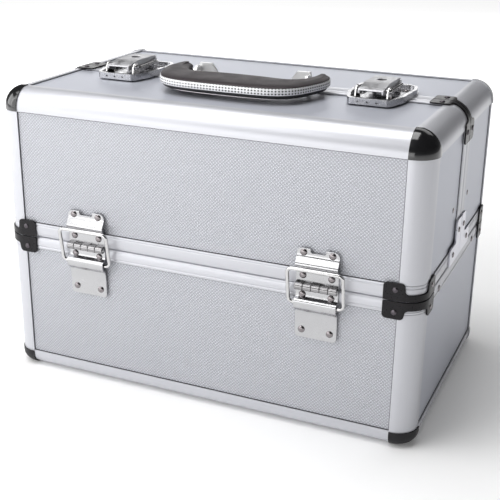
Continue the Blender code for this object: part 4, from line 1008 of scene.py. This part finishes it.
def latch_arms():
    """Round draw bars beside the cover, joined by the nose of the hook."""
    bars = []
    for s_ in (-1, 1):
        line = [(s_ * 12.6, -22.2, 258.6), (s_ * 12.6, 5.0, 258.6), (s_ * 12.4, 8.0, 258.5), (s_ * 11.4, 9.6, 258.3), (s_ * 9.0, 10.2, 258.2)]
        path = []
        for i, q in enumerate(line):
            t = (Vector(line[min(i + 1, 4)]) - Vector(line[max(i - 1, 0)])).normalized()
            path.append((q, tuple(t.cross(Vector((0, 0, 1))).normalized()), (0, 0, 1)))
        bars.append(sweep(path, arc(0, 0, 1.25, 0, 330, 11), False))
    return join(*bars)


def latch_hook():
    hook = prism([(-26.0, 255.2), (-25.4, 254.8), (-3.6, 254.8), (-2.6, 253.5), (1.9, 253.5), (10.2, 260.0), (10.2, 261.0),
                  (9.4, 261.4), (-5.0, 259.4), (-24.0, 259.2), (-25.6, 258.6)], "x", -11.6, 11.6)
    hook = cut(hook, prism([(-30.0, 250.0), (-30.0, 262.0), (-12.0, 262.0), (-12.0, 250.0)], "x", -9.2, 9.2))
    return cut(hook, cylinder("z", (0.0, LOCK_Y), 3.9, 250.0, 270.0, 40))


def latch_strike():
    z0_ = H + 0.05
    plan = [(-24.5, 0.8), (24.5, 0.8), (26.0, 8.0), (22.8, 23.0), (17.0, 28.0), (-17.0, 28.0), (-22.8, 23.0), (-26.0, 8.0)]
    sheet = prism(round_plan(plan, 3.0), "z", z0_, z0_ + 1.4)
    wedge = prism([(2.9, z0_ + 0.6), (6.6, 254.8), (7.4, 255.2), (9.6, 255.2), (10.2, 254.8), (12.0, z0_ + 0.6)], "x", -11.0, 11.0)
    rim_o = [(-24.1, 1.4), (-25.4, 8.2), (-22.2, 22.6), (-16.7, 27.3), (16.7, 27.3), (22.2, 22.6), (25.4, 8.2), (24.1, 1.4)]
    rim_i = [(-21.5, -4.0), (-22.6, 8.0), (-19.8, 21.2), (-15.6, 24.6), (15.6, 24.6), (19.8, 21.2), (22.6, 8.0), (21.5, -4.0)]
    ro = [rim_o[0]] + round_plan(rim_o, 4.0)[5:-5] + [rim_o[-1]]
    ri = [rim_i[0]] + round_plan(rim_i, 3.0)[5:-5] + [rim_i[-1]]
    rim_ = cut(prism(ro, "z", z0_ + 0.6, z0_ + 5.0), prism(ri, "z", z0_, z0_ + 9))
    return union(sheet, wedge, rim_)


lb, ls = latch_body(), latch_strike()
cover, hook, arms = latch_cover(), latch_hook(), latch_arms()
for hand, s in (("left", -1), ("right", 1)):
    X = s * LATCH_X
    piece(f"{hand}_latch_base", moved(lb, x=X), "front_lid", LATCH, [f"{hand}_latch_body"], "latch_chrome", 34, 0.9, 4)
    for k, (e0, e1) in enumerate(((12.1, 13.7), (-13.7, -12.1))):
        piece(f"{hand}_latch_ear_{k}", moved(latch_ear(e0, e1), x=X), "front_lid", CHROME, (), "latch_chrome", 34, 0.4, 3)
    pin = cylinder("x", LEVER_PIVOT, 1.2, -14.4, 14.4, 20, 0.2)
    heads = join(pin, rivet((13.7, *LEVER_PIVOT), (1, 0, 0), 2.7, 1.7), rivet((-13.7, *LEVER_PIVOT), (-1, 0, 0), 2.7, 1.7))
    piece(f"{hand}_latch_pin", moved(heads, x=X), "front_lid", CHROME, (), "latch_chrome", 40)
    fr = join(*[rivet((sx, -16.0, H + 1.4), (0, 0, 1), 2.3, 1.2) for sx in (-17.2, 17.2)])
    piece(f"{hand}_latch_base_rivets", moved(fr, x=X), "front_lid", RIVET, (), "latch_chrome", 40)
    piece(f"{hand}_latch_cover", moved(cover, x=X), f"{hand}_latch", LATCH_COVER, [f"{hand}_latch_lever"], "latch_chrome", 34, 0.55, 4)
    piece(f"{hand}_latch_hook", moved(hook, x=X), f"{hand}_latch", LATCH, (), "latch_chrome", 34, 0.4, 3)
    piece(f"{hand}_latch_arms", moved(arms, x=X), f"{hand}_latch", CHROME, (), "latch_chrome", 50)
    plug = lathe([(0, 0), (3.4, 0), (3.4, 4.4), (3.0, 4.9), (0, 4.9)], (0, LOCK_Y, 257.6), (0, 0, 1), 40)
    plug = cut(plug, box(-0.55, 0.55, LOCK_Y - 2.3, LOCK_Y + 2.3, 260.4, 266.0))
    plug = cut(plug, cylinder("z", (0.0, LOCK_Y + 0.9), 1.1, 260.4, 266.0, 20))
    piece(f"{hand}_latch_plug", moved(plug, x=X), f"{hand}_lock", LOCK, [f"{hand}_latch_lock"], "lock_chrome", 30)
    piece(f"{hand}_latch_catch", moved(ls, x=X), "rear_lid", LATCH, [f"{hand}_latch_strike"], "latch_chrome", 34, 0.8, 4)
    cr = join(*[rivet((sx, 17.5, H + 1.4), (0, 0, 1), 2.3, 1.2) for sx in (-14.0, 14.0)])
    piece(f"{hand}_latch_catch_rivets", moved(cr, x=X), "rear_lid", RIVET, (), "latch_chrome", 40)


# ------------------------------------------------------------------- handle
# stations across the grip, from its middle out to the end of one lobe: outer
# edge and inner edge of the plan
HALF = [((0, -74.5), (0, -28.0)), ((10, -74.4), (8, -28.1)), ((20, -74.2), (15, -28.5)), ((30, -73.6), (22, -29.2)),
        ((39.5, -72.2), (30, -30.3)), ((47.5, -69.5), (37, -31.0)), ((54.0, -65.4), (42.5, -30.2)), ((59.3, -59.8), (46.5, -28.0)),
        ((63.2, -52.6), (49.5, -24.8)), ((66.4, -44.6), (51.6, -21.4)), ((69.2, -36.2), (52.8, -18.0)), ((71.4, -28.4), (53.5, -15.0)),
        ((72.3, -21.4), (54.0, -12.2)), ((71.6, -15.4), (54.4, -9.6)), ((70.2, -10.6), (54.9, -7.0))]
TIP = [((69.2, -7.6), (55.5, -5.2)), ((68.0, -5.4), (56.4, -4.2)), ((66.6, -3.9), (57.8, -3.3)), ((65.0, -3.0), (59.6, -2.8))]
STATIONS = [((-o[0], o[1]), (-i[0], i[1])) for o, i in (HALF + TIP)[:0:-1]] + HALF + TIP


def grip_loft(section, cap_r=0.0):
    """Loft along the stations. section: (t, inset, z) points round the grip,
    where t is 0 at the outer edge and 1 at the inner edge, and inset moves the
    point inwards from that edge."""
    bm = bmesh.new()
    rows = []
    n = len(STATIONS)
    for k, (o, i) in enumerate(STATIONS):
        o, i = Vector(o), Vector(i)
        d = (i - o)
        wd = d.length
        d.normalize()
        e = min(k, n - 1 - k)
        near = max(0.0, 1.0 - e / 3.5) if cap_r else 0.0
        row = []
        for t, ins, z in section:
            p = o + d * min(ins, wd * 0.48) if t == 0 else (i - d * min(ins, wd * 0.48) if t == 1 else o.lerp(i, t))
            zc = z - cap_r * near * near if z > 260 else z
            row.append(bm.verts.new((p.x, p.y, zc)))
        rows.append(row)
    m = len(section)
    for r0, r1 in zip(rows, rows[1:]):
        for j in range(m):
            bm.faces.new((r0[j], r1[j], r1[(j + 1) % m], r0[(j + 1) % m]))
    bm.faces.new(rows[0])
    bm.faces.new(rows[-1][::-1])
    bmesh.ops.recalc_face_normals(bm, faces=bm.faces)
    return bm


PAD = [(0, 2.0, 258.6), (0, 0.9, 259.6), (0, 0.6, 261.2), (0, 0.9, 261.9), (0, 2.0, 262.5), (0, 4.2, 263.1), (0, 7.0, 263.5),
       (0.3, 0, 263.75), (0.5, 0, 263.85), (0.7, 0, 263.75), (1, 7.0, 263.3), (1, 4.0, 262.7), (1, 1.8, 261.7), (1, 0.8, 260.4), (1, 0.8, 259.2),
       (1, 2.0, 258.4)]
UNDER_SEC = [(0, 1.9, 258.8), (0, 1.8, 256.6), (0, 2.2, 254.6), (0, 3.6, 253.2), (0, 6.0, 252.5), (0.35, 0, 252.2), (0.65, 0, 252.2), (1, 5.0, 252.6),
             (1, 2.6, 253.6), (1, 1.6, 255.2), (1, 1.4, 258.8)]
bm = grip_loft(PAD, 0.9)
g1 = piece("grip_pad", bm, "handle", LEATHER, ["handle_grip"], "grip", 75)
sub = g1.modifiers.new("soft", "SUBSURF")
sub.levels = sub.render_levels = 2
piece("grip_under", grip_loft(UNDER_SEC), "handle", UNDER, (), "grip", 60)


def grip_band(levels):
    """The braid round the outer edge, from lobe to lobe, with its own map."""
    bm = bmesh.new()
    uv = bm.loops.layers.uv.new("map")
    line = [Vector(o) for o, _ in STATIONS[1:-1]]
    fine = []
    for i in range(len(line) - 1):
        p0, p1, p2, p3 = line[max(i - 1, 0)], line[i], line[i + 1], line[min(i + 2, len(line) - 1)]
        for k in range(3):
            t = k / 3
            fine.append(0.5 * ((2 * p1) + (p2 - p0) * t + (2 * p0 - 5 * p1 + 4 * p2 - p3) * t * t + (3 * p1 - p0 - 3 * p2 + p3) * t ** 3))
    fine.append(line[-1])
    length = [0.0]
    for a_, b_ in zip(fine, fine[1:]):
        length.append(length[-1] + (a_ - b_).length)
    hts = [0.0]
    for (d0, za), (d1, zb2) in zip(levels, levels[1:]):
        hts.append(hts[-1] + math.hypot(d1 - d0, zb2 - za))
    grid = []
    for i, p in enumerate(fine):
        t = (fine[min(i + 1, len(fine) - 1)] - fine[max(i - 1, 0)]).normalized()
        nrm = Vector((-t.y, t.x))
        grid.append([bm.verts.new((p.x + nrm.x * d, p.y + nrm.y * d, z)) for d, z in levels])
    m = len(levels)
    for k in range(len(grid) - 1):
        for j in range(m):
            jn = (j + 1) % m
            f = bm.faces.new((grid[k][j], grid[k + 1][j], grid[k + 1][jn], grid[k][jn]))
            vj, vn = hts[j], (hts[jn] if jn else hts[-1] + 1.0)
            for lp_, uvv in zip(f.loops, ((length[k], vj), (length[k + 1], vj), (length[k + 1], vn), (length[k], vn))):
                lp_[uv].uv = uvv
    bm.faces.new(grid[0])
    bm.faces.new(grid[-1][::-1])
    bmesh.ops.recalc_face_normals(bm, faces=bm.faces)
    return bm


piece("grip_band", grip_band([(2.2, 256.0), (0.5, 256.1), (0.05, 256.8), (0.0, 258.8), (0.1, 260.8), (0.6, 261.5), (2.2, 261.6)]),
      "handle", BRAID, (), "grip", 50)
# steel core that shows under the front edge
core = [o for o, _ in STATIONS[4:-4]] + [i for _, i in STATIONS[4:-4]][::-1]
plate = prism(inset_outline(core, 9.0)[:len(STATIONS) - 8] + [tuple(Vector(o).lerp(Vector(i), 0.6)) for o, i in STATIONS[4:-4]][::-1], "z", 251.3, 252.4)
piece("grip_core", plate, "handle", PINK, (), "mount_chrome", 30)


def handle_mount():
    z0_ = H + 0.05
    foot = prism([(33.0, -23.5), (47.0, -23.5), (49.5, -20.0), (51.2, -2.0), (31.0, -2.0)], "z", z0_, z0_ + 1.5)
    up_ = prism([(31.5, z0_ + 0.5), (51.2, z0_ + 0.5), (51.2, 260.0), (50.2, 263.7), (39.0, 263.7), (34.0, 257.0)], "y", -5.0, -2.2)
    ear = prism([(-18.5, z0_ + 0.6), (-2.4, z0_ + 0.6), (-2.4, 257.4)] + arc(-9.0, 257.0, 5.2, 10, 150, 10), "x", 49.0, 51.2)
    return union(foot, up_, ear)


hm = handle_mount()
for hand, ax in (("right", ""), ("left", "x")):
    # handle brackets carry the near-white painted highlight
    piece(f"{hand}_handle_bracket", turned(hm, ax), "front_lid", MOUNT_PAINTED_HIGHLIGHT, [f"{hand}_handle_mount"], "mount_chrome", 30, 0.4, 3)
    pin = cylinder("x", HANDLE_PIVOT, 1.8, 50.0, 62.0, 20, 0.2)
    piece(f"{hand}_handle_pin", turned(pin, ax), "front_lid", CHROME, (), "mount_chrome", 40)

# ------------------------------------------- trays and arms keep their shapes
for n, ob in NODES.items():
    if n.endswith("_tray"):
        for i in range(len(ob.material_slots)):
            ob.material_slots[i].material = TRAY
    if n.endswith("_tray_arm"):
        for i in range(len(ob.material_slots)):
            ob.material_slots[i].material = BLACK

# -------------------------------------------------------------------- stage
fl = bmesh.new()
bmesh.ops.create_grid(fl, x_segments=2, y_segments=2, size=6000)
for v in fl.verts:
    v.co = v.co * MM
me = bpy.data.meshes.new("floor")
fl.to_mesh(me)
fl.free()
fm = bpy.data.materials.new("floor")
fm.use_nodes = True
fb = fm.node_tree.nodes["Principled BSDF"]
fb.inputs["Base Color"].default_value = (0.93, 0.93, 0.93, 1)
fb.inputs["Roughness"].default_value = 0.8
fnt = fm.node_tree
# painted light: the floor glows, weakly next to the case and up to 0.75 further out, whitening it beyond what the lamps
# give
fg = fnt.nodes.new("ShaderNodeNewGeometry")
fl_len = fnt.nodes.new("ShaderNodeVectorMath")
fl_len.operation = "LENGTH"
fnt.links.new(fg.outputs["Position"], fl_len.inputs[0])
fnt.links.new(map_range(fnt, fl_len.outputs["Value"], 0.30, 1.3, 0.10, 0.75, True), fb.inputs["Emission Strength"])
fb.inputs["Emission Color"].default_value = (1, 1, 1, 1)
me.materials.append(fm)
floor = bpy.data.objects.new("floor", me)
floor.location.z = -0.0003
bpy.context.scene.collection.objects.link(floor)

# ------------------------------------------------------------------- lights
scene = bpy.context.scene
scene.view_settings.view_transform = "Standard"
world = bpy.data.worlds.new("studio")
world.use_nodes = True
wn = world.node_tree
bg = wn.nodes["Background"]
tcw = wn.nodes.new("ShaderNodeTexCoord")
sepw = wn.nodes.new("ShaderNodeSeparateXYZ")
wn.links.new(tcw.outputs["Generated"], sepw.inputs[0])
ramp = wn.nodes.new("ShaderNodeValToRGB")
wn.links.new(map_range(wn, sepw.outputs[2], -1, 1, 0, 1), ramp.inputs[0])
els = ramp.color_ramp.elements
els[0].position, els[0].color = 0.0, (0.5, 0.5, 0.5, 1)
els[1].position, els[1].color = 1.0, (0.03, 0.03, 0.03, 1)
for pos, val in ((0.49, 0.20), (0.56, 0.08), (0.66, 0.03), (0.80, 0.03)):
    e = els.new(pos)
    e.color = (val, val, val * 1.02, 1)
lp = wn.nodes.new("ShaderNodeLightPath")
mixw = wn.nodes.new("ShaderNodeMix")
mixw.data_type = "RGBA"
wn.links.new(lp.outputs["Is Camera Ray"], mixw.inputs[0])
wn.links.new(ramp.outputs[0], mixw.inputs[6])
mixw.inputs[7].default_value = (1, 1, 1, 1)
wn.links.new(mixw.outputs[2], bg.inputs["Color"])
bg.inputs["Strength"].default_value = 1.0
scene.world = world


def area(name, direction, dist, size, power, size_y=None):
    L = bpy.data.lights.new(name, "AREA")
    L.shape = "RECTANGLE"
    L.size = size
    L.size_y = size_y or size
    L.energy = power
    ob = bpy.data.objects.new(name, L)
    d = Vector(direction).normalized()
    c = Vector((0, 0, 0.12))
    ob.location = c + d * dist
    ob.rotation_euler = (-d).to_track_quat("-Z", "Y").to_euler()
    scene.collection.objects.link(ob)
    return ob


area("key_softbox", (-0.44, -0.31, 0.84), 1.9, 1.2, 6.5, 0.7)
area("key_softbox_low", (-0.44, -0.62, 0.65), 1.9, 1.2, 7.2, 0.6)
area("left_softbox", (-1.0, -0.35, 0.35), 2.2, 1.3, 14.0, 1.2)
area("front_left_fill", (-0.75, -0.85, 0.30), 2.2, 1.3, 9.5, 1.2)
area("front_low_fill", (-0.20, -1.0, 0.08), 2.0, 1.5, 6.0, 0.5)
area("back_light", (0.15, 0.85, 0.75), 2.2, 1.4, 3.7, 0.8)
area("back_low_light", (-0.45, 0.95, 0.28), 2.3, 1.6, 6.0, 0.6)
area("top_softbox", (-0.20, 0.0, 0.98), 2.2, 1.6, 36.0, 1.6)

# ------------------------------------------------------------------- camera
cam = bpy.data.cameras.new("camera")
cam.lens = 70.52
cam.sensor_width = 36.0
cam.clip_start, cam.clip_end = 0.05, 50.0
co = bpy.data.objects.new("camera", cam)
fwd = Vector((-0.3697, 0.8565, -0.3600)).normalized()
rt = fwd.cross(Vector((0, 0, 1))).normalized()
upv = rt.cross(fwd)
roll = 0.0124
r2 = rt * math.cos(roll) + upv * math.sin(roll)
u2 = -rt * math.sin(roll) + upv * math.cos(roll)
co.matrix_world = Matrix(((r2.x, u2.x, -fwd.x, 0.3243), (r2.y, u2.y, -fwd.y, -0.7592), (r2.z, u2.z, -fwd.z, 0.4163), (0, 0, 0, 1)))
scene.collection.objects.link(co)
scene.camera = co
